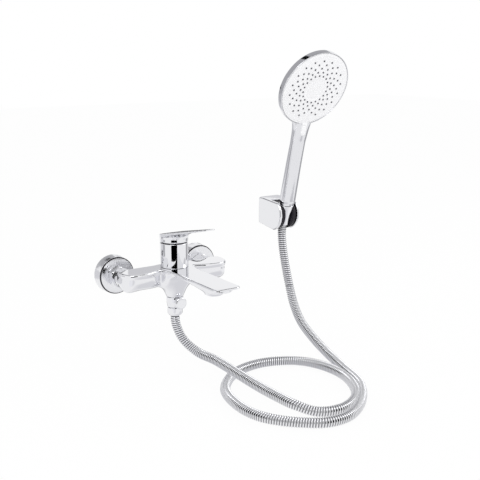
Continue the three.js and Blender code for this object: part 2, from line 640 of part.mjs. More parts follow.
add('check_valve', sleeve(outletBore - clearance, 2.5, outletThreadTop - 8, outletThreadTop - 0.5,
  { ...axis, segments: 16 }), greyPlastic);

// ---------------------------------------------------------------- hose, lower end
const lowerWasherTop = collarBottom - 7 - clearance;
const lowerFlangeTop = lowerWasherTop - washerThickness - clearance;
const lowerLip = lowerFlangeTop - 1.6 - clearance;
add('hose_nut', turned([
  [pipeThreadRadius + clearance, hoseNutTop], [hoseNutRadius - 0.5, hoseNutTop], [hoseNutRadius, hoseNutTop - 0.5],
  [hoseNutRadius, hoseNutBottom + 3], [hoseRadius + 1.6, hoseNutBottom], [hoseRadius + 0.4, hoseNutBottom],
  [hoseRadius + 0.4, lowerLip], [pipeThreadRadius + clearance, lowerLip],
], { ...axis, segments: 28 }), chrome);
add('hose_washer_lower', sleeve(pipeThreadRadius, 5, lowerWasherTop - washerThickness, lowerWasherTop,
  { ...axis, segments: 20 }), rubber);
add('hose_ferrule_lower', turned([
  [4, lowerFlangeTop], [pipeThreadRadius, lowerFlangeTop], [pipeThreadRadius, lowerFlangeTop - 1.6],
  [hoseRadius, lowerFlangeTop - 1.6], [hoseRadius, hoseNutBottom - 1], [4, hoseNutBottom - 1],
], { ...axis, segments: 20 }), steel);

// ---------------------------------------------------------------- hose
// The route runs from the mixer's nut down to the loop, twice round it and up to the hand shower.
const hoseRoute = [
  [0, -69, -65.5], [0, -69, -72], [2, -71, -85], [8, -80, -104], [21, -100, -121], [32, -138, -126], [35, -198, -130],
  [37, -242, -133], [39, -288, -134], [45, -324, -136], [65, -348, -142], [100, -359, -143], [145, -336, -142],
  [182, -269, -142], [183, -216, -142], [167, -182, -142], [139, -161, -142], [102, -152, -142], [52, -164, -142],
  [2, -212, -143], [-14, -274, -143], [-9, -317, -143], [7, -345, -143], [28, -366, -143], [54, -382, -143],
  [90, -385, -143], [139, -360, -143], [182, -307, -140], [198, -248, -134], [203, -201, -126], [207, -157, -115],
  [213, -119, -100], [221, -89, -80], [226, -72, -60], [228, -56, -25], [228, -46, 10], [228, -42.6, 35],
  [228, -43.3, 47], [228, -45.4, 54.6], [228, -47.3, 61.3],
].map(([x, y, z]) => new THREE.Vector3(x, y, z));
const hoseSplit = { y: -68, z: -53, gap: 1 }; // where the upper length ends, square to the holder's pivot

/** Everything above a line through the split that is square to the holder's pivot. */
function aboveSplit(drop) {
  const away = new THREE.Vector2(hoseSplit.y + holderPivotFromWall, hoseSplit.z - holderPivotHeight).normalize();
  const along = new THREE.Vector2(-away.y, away.x);
  const start = new THREE.Vector2(hoseSplit.y, hoseSplit.z).addScaledVector(away, drop);
  const corners = [[-150, 0], [150, 0], [150, -200], [-150, -200]].map(([a, b]) =>
    [start.x + along.x * a + away.x * b, start.y + along.y * a + away.y * b]);
  return prism(corners, 'x', holderAcross - 30, holderAcross + 30);
}
const wholeHose = tube(hoseRoute, hoseRadius, { steps: 60 });
add('hose_main', wholeHose.subtract(aboveSplit(hoseSplit.gap)), chrome);
add('hose_upper', wholeHose.intersect(aboveSplit(0)), chrome);

// ---------------------------------------------------------------- holder on the wall
const holder = { x: holderAcross, y: -holderPivotFromWall, z: holderPivotHeight };
const holderLeft = holder.x - holderWidth / 2;
const holderRight = holder.x + holderWidth / 2;
const cheekInner = holderWidth / 2 - cheekThickness;
const drumHalfWidth = cheekInner - frictionWasher - 2 * clearance;
const plateSpaceTop = 19; // top of the hollow for the wall plate, above the pivot
const plateSpaceBottom = 16; // bottom of that hollow, below the pivot

/** Disc about the pivot, centred on the holder's middle plane. */
const pivotDisc = (r, half, segments = 40) => rod(r, -half, half,
  { along: SIDE, at: [holder.x, holder.y, holder.z], segments });

/** Half space in front of a plane through the pivot, leaning by `degrees` towards the front. */
function frontOfPivot(degrees) {
  const lean = THREE.MathUtils.degToRad(degrees);
  const reach = 2.2 * drumRadius;
  const [dy, dz] = [-Math.sin(lean) * reach, Math.cos(lean) * reach];
  const [fy, fz] = [-Math.cos(lean) * reach, -Math.sin(lean) * reach];
  return prism([
    [holder.y + dy, holder.z + dz], [holder.y - dy, holder.z - dz],
    [holder.y - dy + fy, holder.z - dz + fz], [holder.y + dy + fy, holder.z + dz + fz],
  ], 'x', holderLeft - 1, holderRight + 1);
}

/** Side view of the holder: flat on the wall, sloping top, round nose and sloping underside. */
function holderSide() {
  const shape = new THREE.Shape();
  const topBack = holder.z + 25;
  const noseUp = 0.72 * Math.PI;
  const noseDown = 1.42 * Math.PI;
  shape.moveTo(-clearance, topBack - 3).lineTo(-3.5, topBack).lineTo(-13, topBack);
  shape.lineTo(holder.y + shellNoseRadius * Math.cos(noseUp), holder.z + shellNoseRadius * Math.sin(noseUp));
  shape.absarc(holder.y, holder.z, shellNoseRadius, noseUp, noseDown);
  shape.lineTo(-clearance - 1, holder.z - 21).lineTo(-clearance, holder.z - 18);
  return shape;
}

function holderShell() {
  const sweepClearance = 0.5;
  const wide = pivotDisc(drumRadius + sweepClearance, cheekInner);
  const sweep = pivotDisc(drumHeelRadius + sweepClearance, cheekInner)
    .add(wide.intersect(frontOfPivot(showerTilt - tiltBack - 3)))
    .add(wide.intersect(frontOfPivot(showerTilt + tiltForward + 3)));
  const nose = block([holder.x - cheekInner, holder.y - shellNoseRadius - 20, 0], [holder.x + cheekInner, holder.y, holder.z])
    .add(block([holder.x - cheekInner, holder.y - shellNoseRadius - 20, holder.z],
      [holder.x + cheekInner, holder.y + shellTopSetback, holder.z + 60]));
  const plateSpace = block([holder.x - 14.5, -holderPlate - 1.5, holder.z - plateSpaceBottom],
    [holder.x + 14.5, 0, holder.z + plateSpaceTop]);
  return prism(holderSide(), 'x', holderLeft, holderRight, 24)
    .subtract(sweep).subtract(nose).subtract(plateSpace)
    .subtract(pivotDisc(trunnionRadius + clearance, cheekInner + 2.5, 16));
}
add('holder_shell', holderShell(), chrome);

const plateTop = holder.z + plateSpaceTop - 0.4;
const plateBottom = holder.z - plateSpaceBottom + 0.4;
const screwLevels = { upper: holder.z + 12, lower: holder.z - 9 };
const screwHole = (z, r) => rod(r, -1, holderPlate + 2, { along: FRONT, at: [holder.x, 0, z], segments: 16 });
add('holder_plate', prism(roundedRectangle(holder.x - 14, plateBottom, holder.x + 14, plateTop, 3), 'y',
  -holderPlate, -clearance)
  .subtract(screwHole(screwLevels.upper, wallScrewRadius + clearance))
  .subtract(screwHole(screwLevels.lower, wallScrewRadius + clearance)), steel);
for (const [level, z] of Object.entries(screwLevels)) {
  add(`wall_screw_${level}`, turned([
    [0, -wallScrewLength + holderPlate], [wallScrewRadius, -wallScrewLength + holderPlate + 4],
    [wallScrewRadius, holderPlate + clearance], [3.6, holderPlate + clearance],
    [3.6, holderPlate + 1.1], [0, holderPlate + 1.1],
  ], { along: FRONT, at: [holder.x, 0, z], segments: 12 }), steel);
}
for (const [side, sign] of [['left', -1], ['right', 1]]) {
  const inner = drumHalfWidth + clearance;
  add(`holder_washer_${side}`, sleeve(11, trunnionRadius + clearance, inner, inner + frictionWasher,
    { along: SIDE.clone().multiplyScalar(sign), at: [holder.x, holder.y, holder.z], segments: 24 }), rubber);
}

// ---------------------------------------------------------------- moving fork of the holder
// The group sits on the pivot and leans with the hand shower: local z runs up the handle.
const tilting = new THREE.Group();
tilting.position.set(holder.x, holder.y, holder.z);
tilting.rotation.x = THREE.MathUtils.degToRad(showerTilt);
faucet.add(tilting);
const seatLine = { at: [0, -seatAhead, seatRise], segments: 28 };
const coneTaper = (coneTopRadius - coneBottomRadius) / coneHeight;

function holderDrum() {
  const lobeTop = seatRise - 1.4;
  const front = rod(drumRadius, -drumHalfWidth, drumHalfWidth, { along: SIDE, segments: 48 })
    .intersect(block([-20, -40, -40], [20, 0, lobeTop]));
  const heel = rod(drumHeelRadius, -drumHalfWidth, drumHalfWidth, { along: SIDE, segments: 40 });
  const trunnions = rod(trunnionRadius, -cheekInner - 2, cheekInner + 2, { along: SIDE, segments: 16 });
  const seatDepth = (coneTopRadius - drumSlot / 2) / coneTaper;
  const seat = turned([
    [0, 3], [coneTopRadius + clearance + 3 * coneTaper, 3], [drumSlot / 2, -seatDepth - clearance / coneTaper],
    [drumSlot / 2, -70], [0, -70],
  ], seatLine);
  const slot = block([-drumSlot / 2, -50, -50], [drumSlot / 2, -seatAhead, 50]);
  return front.add(heel).add(trunnions).subtract(seat).subtract(slot);
}
add('holder_drum', holderDrum(), blackPlastic, tilting);

// ---------------------------------------------------------------- hand shower
// Local z runs up the handle from the top of the cone nut, and -y is the spray side.
const shower = new THREE.Group();
shower.position.set(0, -seatAhead, seatRise);
tilting.add(shower);

const flangeTop = -threadLength - washerThickness - 3 * clearance;
add('hose_cone_nut', turned([
  [pipeThreadRadius + clearance, 0], [coneTopRadius - 0.6, 0], [coneTopRadius, -0.8],
  [coneBottomRadius, -coneHeight], [hoseRadius + 1.1, -coneHeight], [hoseRadius + 0.5, -coneHeight + 8],
  [hoseRadius + 0.5, flangeTop - 1.6 - clearance],
  [8.7, flangeTop - 1.6 - clearance], [8.7, -threadLength - clearance],
  [pipeThreadRadius + clearance, -threadLength - clearance],
], { segments: 28 }), chrome, shower);
add('hose_washer_upper', sleeve(8.4, 5, -threadLength - washerThickness - 2 * clearance,
  -threadLength - 2 * clearance, { segments: 20 }), rubber, shower);
const upperFerruleEnd = flangeTop - 13;
add('hose_ferrule_upper', turned([
  [4, flangeTop], [8.4, flangeTop], [8.4, flangeTop - 1.6], [hoseRadius, flangeTop - 1.6],
  [hoseRadius, upperFerruleEnd], [4, upperFerruleEnd],
], { segments: 20 }), steel, shower);

/** Handle cross-section at height z: flat front with two creases, rounded back. */
function handleSection(z, { half, front, back }, inset) {
  const w = half - inset;
  const f = -front + inset;
  const b = back - inset;
  const crease = 0.62;
  const outline = [
    [-crease * w, f], [crease * w, f], [0.9 * w, f + 0.16 * (b - f)], [w, f + 0.42 * (b - f)],
    [0.86 * w, b - 0.2 * (b - f)], [0.5 * w, b - 0.04 * (b - f)], [0, b],
    [-0.5 * w, b - 0.04 * (b - f)], [-0.86 * w, b - 0.2 * (b - f)], [-w, f + 0.42 * (b - f)],
    [-0.9 * w, f + 0.16 * (b - f)],
  ];
  return outline.map(([x, y]) => new THREE.Vector3(x, y, z));
}

const rimRadius = faceRadius + faceRim;
const headFoot = faceAlong - rimRadius * Math.cos(THREE.MathUtils.degToRad(faceTilt)); // lower edge of the head
const headWidth = faceRadius * 0.39; // half width of the handle's root inside the head
const handleStations = [
  [0.3, { half: 12.2, front: 10.2, back: 9.6 }], [4.5, { half: 12.2, front: 10.2, back: 9.8 }],
  [8.5, { half: 13.6, front: 11.2, back: 10.6 }],
  [0.22 * headFoot, { half: 13.7, front: 10, back: 10.6 }], [0.52 * headFoot, { half: 13.7, front: 8, back: 9.8 }],
  [0.78 * headFoot, { half: 13.8, front: 6.6, back: 8.6 }], [headFoot - 9, { half: 15.4, front: 7, back: 9.2 }],
  [headFoot + 7, { half: 19, front: 4, back: 10 }], [headFoot + 27, { half: headWidth - 1, front: 2, back: 8 }],
  [headFoot + 45, { half: headWidth, front: 3, back: 5 }],
];
const handleLoft = (inset, first, last) => {
  const stations = handleStations.map(([z, size]) => [z, size]);
  stations[0][0] += first;
  stations[stations.length - 1][0] += last;
  const sections = stations.map(([z, size]) => handleSection(z, size, inset));
  return solidOf(welded(new LoftGeometry(sections, { capStart: true, capEnd: true })));
};

const faceTurn = 90 + faceTilt; // degrees from the handle's line to the way the spray leaves
/** Moves a solid drawn with z out of the spray face to its place on the head. */
const onHead = (solid) => solid.rotate([faceTurn, 0, 0]).translate([0, -faceForward, faceAlong]);
function headSolid() {
  return onHead(turned([
    [0, 0], [rimRadius - 0.7, 0], [rimRadius, -0.8], [rimRadius - 0.3, -headDepth + 4],
    [rimRadius - 3.5, -headDepth], [0.76 * rimRadius, -headDepth - 5], [0.47 * rimRadius, -headDepth - 8], [12, -headDepth - 9],
    [0, -headDepth - 9],
  ], { segments: 44 }));
}

function headHollow() {
  return onHead(turned([
    [0, 1], [faceRadius + clearance, 1], [faceRadius + clearance, -faceThickness - 2],
    [faceRadius - 1, -faceThickness - 2], [faceRadius - 3, -headDepth + 2.5],
    [0.73 * rimRadius, -headDepth - 3], [0.47 * rimRadius, -headDepth - 6], [12, -headDepth - 7], [0, -headDepth - 7],
  ], { segments: 44 }));
}

const buttonTop = headFoot - 0.7;
const buttonBottom = buttonTop - buttonLength;
const buttonFront = -11.5;
const buttonBack = waterTubeOffset - waterTubeRadius - buttonTravel - 0.4;
const buttonOutline = (grow) => {
  const half = buttonWidth / 2 + grow;
  const shape = new THREE.Shape();
  shape.moveTo(-half, buttonTop + grow).lineTo(-half, buttonBottom + buttonWidth / 2);
  shape.absarc(0, buttonBottom + buttonWidth / 2, half, Math.PI, 2 * Math.PI);
  shape.lineTo(half, buttonTop + grow);
  return shape;
};

function showerShell() {
  const outer = handleLoft(0, 0, 0).add(headSolid());
  const inner = handleLoft(showerWall, showerWall, 0).add(headHollow());
  const tubePassage = rod(waterTubeRadius + 0.6, -1, 10, { at: [0, waterTubeOffset, 0], segments: 20 });
  const buttonHole = prism(buttonOutline(clearance), 'y', -20, -1);
  return outer.subtract(inner).subtract(tubePassage).subtract(buttonHole);
}
add('shower_shell', showerShell(), chrome, shower);

add('shower_face', onHead(turned([
  [0, 0], [faceRadius - 1, 0], [faceRadius, -1], [faceRadius, -faceThickness], [0, -faceThickness],
], { segments: 56 })), whitePlastic, shower);
const membraneRadius = faceRadius - 3;
const membraneBack = faceThickness + clearance + 1.5;
add('spray_membrane', onHead(rod(membraneRadius, -membraneBack, -faceThickness - clearance, { segments: 40 })),
  greyPlastic, shower);
const chamberBack = membraneBack + clearance + 2;
const tubeElbow = headFoot + 15;
const chamberPlate = rod(membraneRadius - 2, -chamberBack, -membraneBack - clearance, { segments: 40 });
add('spray_chamber', onHead(chamberPlate), whitePlastic, shower);

const waterTube = rod(pipeThreadRadius, -threadLength, -clearance, { segments: 20 })
  .add(rod(waterTubeRadius, -threadLength, tubeElbow, { at: [0, waterTubeOffset, 0], segments: 16 }))
  .subtract(rod(4, -threadLength - 1, -4, { segments: 16 }))
  .subtract(rod(waterTubeRadius - 1.2, -5, tubeElbow + 1, { at: [0, waterTubeOffset, 0], segments: 16 }));
add('water_tube', waterTube, whitePlastic, shower);
add('flow_limiter', sleeve(3.7, 1.5, -threadLength + 1, -threadLength + 7, { segments: 12 }), greyPlastic, shower);

const button = prism(buttonOutline(0), 'y', buttonFront, buttonBack);
add('spray_button', button, whitePlastic, shower);

export default faucet;
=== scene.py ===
"""Wall mounted bath mixer with a metal shower hose, a hand shower and its wall holder.

Millimetres are used in the size fields, and every mesh is written in metres. The wall is the
plane y = 0, the front is -y and up is +z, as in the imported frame.
"""

import json
import logging
import math
from dataclasses import dataclass, field
from enum import Enum
from itertools import product
from typing import Callable, Sequence

import bpy
import numpy as np
from mathutils import Matrix, Vector


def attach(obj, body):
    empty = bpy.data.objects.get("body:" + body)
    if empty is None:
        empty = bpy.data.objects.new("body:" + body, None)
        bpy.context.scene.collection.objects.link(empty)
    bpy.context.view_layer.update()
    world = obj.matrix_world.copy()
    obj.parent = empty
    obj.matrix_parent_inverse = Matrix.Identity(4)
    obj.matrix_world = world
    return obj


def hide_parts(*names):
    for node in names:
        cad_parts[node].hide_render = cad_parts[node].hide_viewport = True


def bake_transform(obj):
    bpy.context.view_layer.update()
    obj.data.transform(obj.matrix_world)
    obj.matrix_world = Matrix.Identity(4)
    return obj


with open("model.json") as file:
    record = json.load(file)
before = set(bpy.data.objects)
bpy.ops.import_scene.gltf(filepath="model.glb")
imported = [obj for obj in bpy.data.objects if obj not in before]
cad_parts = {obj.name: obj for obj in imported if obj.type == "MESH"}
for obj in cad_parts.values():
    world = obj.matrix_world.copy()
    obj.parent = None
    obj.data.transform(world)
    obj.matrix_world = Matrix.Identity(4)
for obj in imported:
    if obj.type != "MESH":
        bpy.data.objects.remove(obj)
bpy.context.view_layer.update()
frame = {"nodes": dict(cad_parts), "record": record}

LOG = logging.getLogger("bath_mixer")
MM = 0.001
Array = np.ndarray
Field = Callable[[Array], Array]
Profile = Sequence[tuple[float, float]]

# Points in each stretch of a route, and the most of a side that a rounded corner takes.
CURVE_STEPS = 60
SIDE_SHARE = 0.45
# How points slide onto a fitted surface: rounds, and shares of a cell for probing and for moving.
SLIDES = 4
PROBE = 0.05
LONGEST_SLIDE = 0.6
LEAST_STEEPNESS = 0.05
# Angle in degrees above which an edge of a fitted surface isn't shaded smooth.
FITTED_SHARP = 40.0


# ------------------------------------------------------------------ numbers on arrays
def arc(cx: float, cy: float, radius: float, start: float, end: float, count: int = 12) -> Array:
    """Points of a circle's arc: centre plus radius times (cosine, sine), angles in degrees."""
    angle = np.radians(np.linspace(start, end, count))
    return np.stack([cx + radius * np.cos(angle), cy + radius * np.sin(angle)], axis=1)


def bezier(control: Sequence[tuple[float, float]], count: int = 14) -> Array:
    """Points of a cubic or quadratic curve: its control points weighted by Bernstein's terms.

    Args:
        control: Three or four (x, y) points.
        count: How many points to give.

    Returns:
        The points, one row each.
    """
    t = np.linspace(0.0, 1.0, count)
    order = len(control) - 1
    rows = np.array(control, float)
    weight = [math.comb(order, k) * t ** k * (1 - t) ** (order - k) for k in range(order + 1)]
    return np.stack(weight, axis=1) @ rows


def smooth_min(a: Array, b: Array, reach: float) -> Array:
    """Lower of two fields, with a round fillet where they differ by less than reach."""
    near = np.maximum(reach - np.abs(a - b), 0.0) / reach
    return np.minimum(a, b) - near * near * reach * 0.25


def smooth_max(a: Array, b: Array, reach: float) -> Array:
    """Higher of two fields, with a round edge where they differ by less than reach."""
    return -smooth_min(-a, -b, reach)


def outline_distance(x: Array, y: Array, outline: Array) -> Array:
    """Signed distance to a closed outline, below zero inside it.

    The distance is the least over the sides of the distance to the nearest point of each side.
    A point is inside where a ray crosses the sides an odd number of times.

    Args:
        x: First coordinates, any shape.
        y: Second coordinates, same shape.
        outline: Corner points, one row each.

    Returns:
        The distance, in the shape of x.
    """
    best = np.full(x.shape, np.inf)
    inside = np.zeros(x.shape, bool)
    following = np.roll(outline, -1, axis=0)
    for (x0, y0), (x1, y1) in zip(outline, following):
        dx, dy = x1 - x0, y1 - y0
        span = dx * dx + dy * dy
        if span < 1e-12:
            continue
        share = np.clip(((x - x0) * dx + (y - y0) * dy) / span, 0.0, 1.0)
        best = np.minimum(best, (x - x0 - share * dx) ** 2 + (y - y0 - share * dy) ** 2)
        if dy != 0.0:
            crosses = ((y0 > y) != (y1 > y)) & (x < x0 + (y - y0) * dx / dy)
            inside ^= crosses
    distance = np.sqrt(best)
    return np.where(inside, -distance, distance)


def route_curve(points: Array, step: float) -> Array:
    """Even points on the centripetal Catmull-Rom curve through a route.

    Each stretch is a cubic whose end slopes come from the root of the gaps between the points.

    Args:
        points: Route points, one row each.
        step: Distance wanted between the points that are given back.

    Returns:
        The points of the curve.
    """
    ends = np.vstack([2 * points[0] - points[1], points, 2 * points[-1] - points[-2]])
    gap = np.sqrt(np.linalg.norm(np.diff(ends, axis=0), axis=1))
    p0, p1, p2, p3 = ends[:-3], ends[1:-2], ends[2:-1], ends[3:]
    d0, d1, d2 = (gap[k:len(gap) - 2 + k][:, None] for k in range(3))
    slope1 = ((p1 - p0) / d0 - (p2 - p0) / (d0 + d1) + (p2 - p1) / d1) * d1
    slope2 = ((p2 - p1) / d1 - (p3 - p1) / (d1 + d2) + (p3 - p2) / d2) * d1
    t = np.linspace(0, 1, CURVE_STEPS, endpoint=False)[None, :, None]
    square = (-3 * p1 + 3 * p2 - 2 * slope1 - slope2)[:, None]
    cube = (2 * p1 - 2 * p2 + slope1 + slope2)[:, None]
    cubic = p1[:, None] + slope1[:, None] * t + square * t ** 2 + cube * t ** 3
    fine = np.vstack([cubic.reshape(-1, 3), points[-1]])
    run = np.concatenate([[0.0], np.cumsum(np.linalg.norm(np.diff(fine, axis=0), axis=1))])
    wanted = np.linspace(0.0, run[-1], max(2, int(round(run[-1] / step)) + 1))
    return np.stack([np.interp(wanted, run, fine[:, k]) for k in range(3)], axis=1)


def soften(profile: Profile, radius: float, steps: int = 4) -> Array:
    """Rounds the corners of a closed outline that lie off the axis.

    Each corner gives way to the curve between two points of its sides, radius away from it or
    less than half of the side, with the corner as the curve's middle control point.

    Args:
        profile: Closed outline of (radius, height) points.
        radius: How far from the corner its rounding starts.
        steps: Sides in each rounded corner.

    Returns:
        The new outline.
    """
    points = np.array(profile, float)
    before, after = np.roll(points, 1, axis=0), np.roll(points, -1, axis=0)
    rounded = []
    for corner, previous, following in zip(points, before, after):
        if corner[0] < 1e-9 or radius <= 0:
            rounded.append(corner[None])
            continue
        back, ahead = previous - corner, following - corner
        reach_back, reach_ahead = np.linalg.norm(back), np.linalg.norm(ahead)
        cut = min(radius, SIDE_SHARE * reach_back, SIDE_SHARE * reach_ahead)
        start, end = corner + back / reach_back * cut, corner + ahead / reach_ahead * cut
        rounded.append(bezier([tuple(start), tuple(corner), tuple(end)], steps + 1))
    return np.vstack(rounded)


# ------------------------------------------------------------------ meshes
def placed(name: str, data: bpy.types.ID) -> bpy.types.Object:
    """Puts a new object with this mesh, lamp or camera into the scene.

    Args:
        name: Name of the object.
        data: Its mesh, lamp or camera.

    Returns:
        The new object.
    """
    made = bpy.data.objects.new(name, data)
    bpy.context.scene.collection.objects.link(made)
    return made


@dataclass
class Shape:
    """A surface as points and faces, in millimetres."""

    points: Array
    quads: Array
    triangles: Array = field(default_factory=lambda: np.zeros((0, 3), int))

    @classmethod
    def grid(cls, points: Array, wrap_rows: bool = False, wrap_columns: bool = True) -> "Shape":
        """Joins a grid of points into faces, and welds the points that fall together.

        Args:
            points: Grid of points, rows by columns by three.
            wrap_rows: Whether the last row joins the first.
            wrap_columns: Whether the last column joins the first.

        Returns:
            The welded surface.
        """
        rows, columns = points.shape[:2]
        high, wide = rows - (not wrap_rows), columns - (not wrap_columns)
        i, j = np.meshgrid(np.arange(high), np.arange(wide), indexing="ij")
        i2, j2 = (i + 1) % rows, (j + 1) % columns
        here, ahead = i * columns, i2 * columns
        quads = np.stack([here + j, here + j2, ahead + j2, ahead + j], -1)
        return cls(points.reshape(-1, 3), quads.reshape(-1, 4)).welded()

    def welded(self, tolerance: float = 2e-4) -> "Shape":
        """The same surface with close points made one, and its flattened faces dropped.

        Args:
            tolerance: Step to which points are rounded when they are compared.

        Returns:
            The new surface.
        """
        keys = np.round(self.points / tolerance).astype(np.int64)
        _, first, back = np.unique(keys, axis=0, return_index=True, return_inverse=True)
        back = back.reshape(-1)
        quads = back[self.quads]
        same = quads == np.roll(quads, -1, axis=1)
        twice = same.sum(axis=1)
        whole = quads[twice == 0]
        whole = whole[(whole[:, 0] != whole[:, 2]) & (whole[:, 1] != whole[:, 3])]
        half = quads[twice == 1]
        kept = np.arange(4)[None] != same[twice == 1].argmax(axis=1)[:, None]
        triangles = half[kept].reshape(-1, 3)
        if len(self.triangles):
            triangles = np.vstack([triangles, back[self.triangles]])
        return Shape(self.points[first], whole, triangles).facing_out()

    def volume(self) -> float:
        """Signed volume: a sixth of the sum of each triangle's box product.

        Returns:
            The volume, below zero where the faces look inwards.
        """
        parts = [self.quads[:, [0, 1, 2]], self.quads[:, [0, 2, 3]], self.triangles]
        corner = self.points[np.vstack(parts)]
        box = np.einsum("ij,ij->i", corner[:, 0], np.cross(corner[:, 1], corner[:, 2]))
        return float(box.sum() / 6)

    def facing_out(self) -> "Shape":
        """The same closed surface with its faces turned outwards.

        Returns:
            This surface, or a copy with its faces reversed.
        """
        if self.volume() >= 0:
            return self
        return Shape(self.points, self.quads[:, ::-1], self.triangles[:, ::-1])

    def moved(self, place: "Place") -> "Shape":
        """The same surface put at a place."""
        return Shape(place.apply(self.points), self.quads, self.triangles)

    def joined(self, *others: "Shape") -> "Shape":
        """This surface and others as one.

        Args:
            *others: The other surfaces.

        Returns:
            One surface with the points and faces of all.
        """
        points, quads, triangles = [self.points], [self.quads], [self.triangles]
        count = len(self.points)
        for other in others:
            points.append(other.points)
            quads.append(other.quads + count)
            triangles.append(other.triangles + count)
            count += len(other.points)
        return Shape(np.vstack(points), np.vstack(quads), np.vstack(triangles))

    def piece(self, name: str, sharp: float = 32.0) -> bpy.types.Object:
        """Makes the surface a mesh object at the origin.

        Args:
            name: Name of the object.
            sharp: Angle, in degrees, above which an edge isn't shaded smooth.

        Returns:
            The new object, in the scene.
        """
        mesh = bpy.data.meshes.new(name)
        faces = self.quads.tolist() + self.triangles.tolist()
        mesh.from_pydata((self.points * MM).tolist(), [], faces)
        mesh.validate()
        mesh.shade_smooth()
        mesh.set_sharp_from_angle(angle=math.radians(sharp))
        mesh.update()
        return placed(name, mesh)


@dataclass(frozen=True)
class Place:
    """A turn and a shift: a point goes to turn times point plus shift, in millimetres."""

    turn: tuple[tuple[float, float, float], ...] = ((1, 0, 0), (0, 1, 0), (0, 0, 1))
    shift: tuple[float, float, float] = (0, 0, 0)

    @classmethod
    def about_x(cls, degrees: float, shift: Sequence[float] = (0, 0, 0)) -> "Place":
        """A turn about the x axis followed by a shift."""
        c, s = math.cos(math.radians(degrees)), math.sin(math.radians(degrees))
        return cls(((1, 0, 0), (0, c, -s), (0, s, c)), tuple(shift))

    @classmethod
    def along(cls, direction: Sequence[float], at: Sequence[float]) -> "Place":
        """Takes the z axis to a direction and the origin to a point."""
        matrix = Vector((0, 0, 1)).rotation_difference(Vector(direction)).to_matrix()
        return cls(tuple(tuple(row) for row in matrix), tuple(at))

    def apply(self, points: Array) -> Array:
        """The points after the turn and the shift."""
        return points @ np.array(self.turn, float).T + np.array(self.shift, float)

    def then(self, outer: "Place") -> "Place":
        """This place seen from an outer one.

        Args:
            outer: The place that this one lies in.

        Returns:
            The two as one place.
        """
        turn = np.array(outer.turn, float) @ np.array(self.turn, float)
        shift = outer.apply(np.array([self.shift], float))[0]
        return Place(tuple(tuple(row) for row in turn), tuple(shift))


def turned(profile: Profile, edge: float = 0.35, segments: int = 96,
           limit: Array | float = np.inf) -> Shape:
    """Turns a closed (radius, height) outline about the z axis.

    A point is (radius times cosine, radius times sine, height) of its angle.

    Args:
        profile: The outline.
        edge: How far from its corners their rounding starts.
        segments: Points round the axis.
        limit: Radius that no point passes, one for all or one for each angle.

    Returns:
        The closed surface.
    """
    outline = soften(profile, edge)
    angle = np.linspace(0.0, 2 * np.pi, segments, endpoint=False)
    radius = np.minimum(outline[:, :1], np.broadcast_to(limit, (1, segments)))
    height = np.broadcast_to(outline[:, 1:], radius.shape)
    points = np.stack([radius * np.cos(angle), radius * np.sin(angle), height], axis=-1)
    return Shape.grid(points, wrap_rows=True)


def fitted_surface(solid: Field, low: Sequence[float], high: Sequence[float], step: float) -> Shape:
    """Surface where a distance field is zero.

    One point is put in each cell that the surface crosses, at the mean of the crossings on the
    cell's twelve edges, and then slides down the field's slope until the field is zero there.

    Args:
        solid: Field of points, below zero inside the solid.
        low: Lowest corner of the box that is searched.
        high: Highest corner of the box that is searched.
        step: Size of a cell.

    Returns:
        The closed surface.
    """
    axes = [np.arange(a, b + step, step) for a, b in zip(low, high)]
    layers = [solid(np.stack(np.meshgrid(axes[0], axes[1], [z], indexing="ij"), -1))[:, :, 0]
              for z in axes[2]]
    value = np.stack(layers, axis=2)
    within = value < 0
    cells = tuple(len(a) - 1 for a in axes)
    total, hits = np.zeros(cells + (3,)), np.zeros(cells)
    corner = {key: value[tuple(slice(a, a + n) for a, n in zip(key, cells))]
              for key in product((0, 1), repeat=3)}
    for axis, first, second in product(range(3), (0, 1), (0, 1)):
        near = [first, second]
        near.insert(axis, 0)
        far = near[:axis] + [1] + near[axis + 1:]
        v0, v1 = corner[tuple(near)], corner[tuple(far)]
        crossing = (v0 < 0) != (v1 < 0)
        share = np.where(crossing, v0 / np.where(crossing, v0 - v1, 1.0), 0.0)
        for k in range(3):
            total[..., k] += np.where(crossing, share if k == axis else near[k], 0.0)
        hits += crossing
    active = hits > 0
    index = np.full(cells, -1)
    index[active] = np.arange(int(active.sum()))
    base = np.stack(np.nonzero(active), axis=1)
    points = np.array(low, float) + (base + total[active] / hits[active][:, None]) * step
    quads = []
    for axis in range(3):
        changes = within != np.roll(within, -1, axis=axis)
        changes[(slice(None),) * axis + (-1,)] = False
        where = np.stack(np.nonzero(changes), axis=1)
        pair = [(axis + 1) % 3, (axis + 2) % 3]
        inner = (where[:, pair] > 0) & (where[:, pair] < [cells[k] for k in pair])
        where = where[inner.all(axis=1)]
        ring = []
        for shift in ((-1, -1), (0, -1), (0, 0), (-1, 0)):
            cell = where.copy()
            cell[:, pair] += shift
            ring.append(index[tuple(cell.T)])
        ring = np.stack(ring, axis=1)
        leaving = within[tuple(where.T)]
        quads.append(np.where(leaving[:, None], ring, ring[:, ::-1]))
    spread, most = step * PROBE, LONGEST_SLIDE * step
    offsets = np.eye(3) * spread
    for _ in range(SLIDES):
        here = solid(points)
        slope = np.stack([(solid(points + o) - solid(points - o)) / (2 * spread)
                          for o in offsets], axis=1)
        steep = np.maximum(np.einsum("ij,ij->i", slope, slope), LEAST_STEEPNESS)
        points = points - np.clip(here / steep, -most, most)[:, None] * slope
    return Shape(points, np.vstack(quads)).facing_out()


# ------------------------------------------------------------------ nodes
def feed(node: bpy.types.Node, inputs: dict) -> bpy.types.Node:
    """Fills a node's inputs.

    Args:
        node: The node.
        inputs: For each input's name or number, another node's socket or a plain value.

    Returns:
        The node.
    """
    for key, value in inputs.items():
        if isinstance(value, bpy.types.NodeSocket):
            node.id_data.links.new(value, node.inputs[key])
        else:
            node.inputs[key].default_value = value
    return node


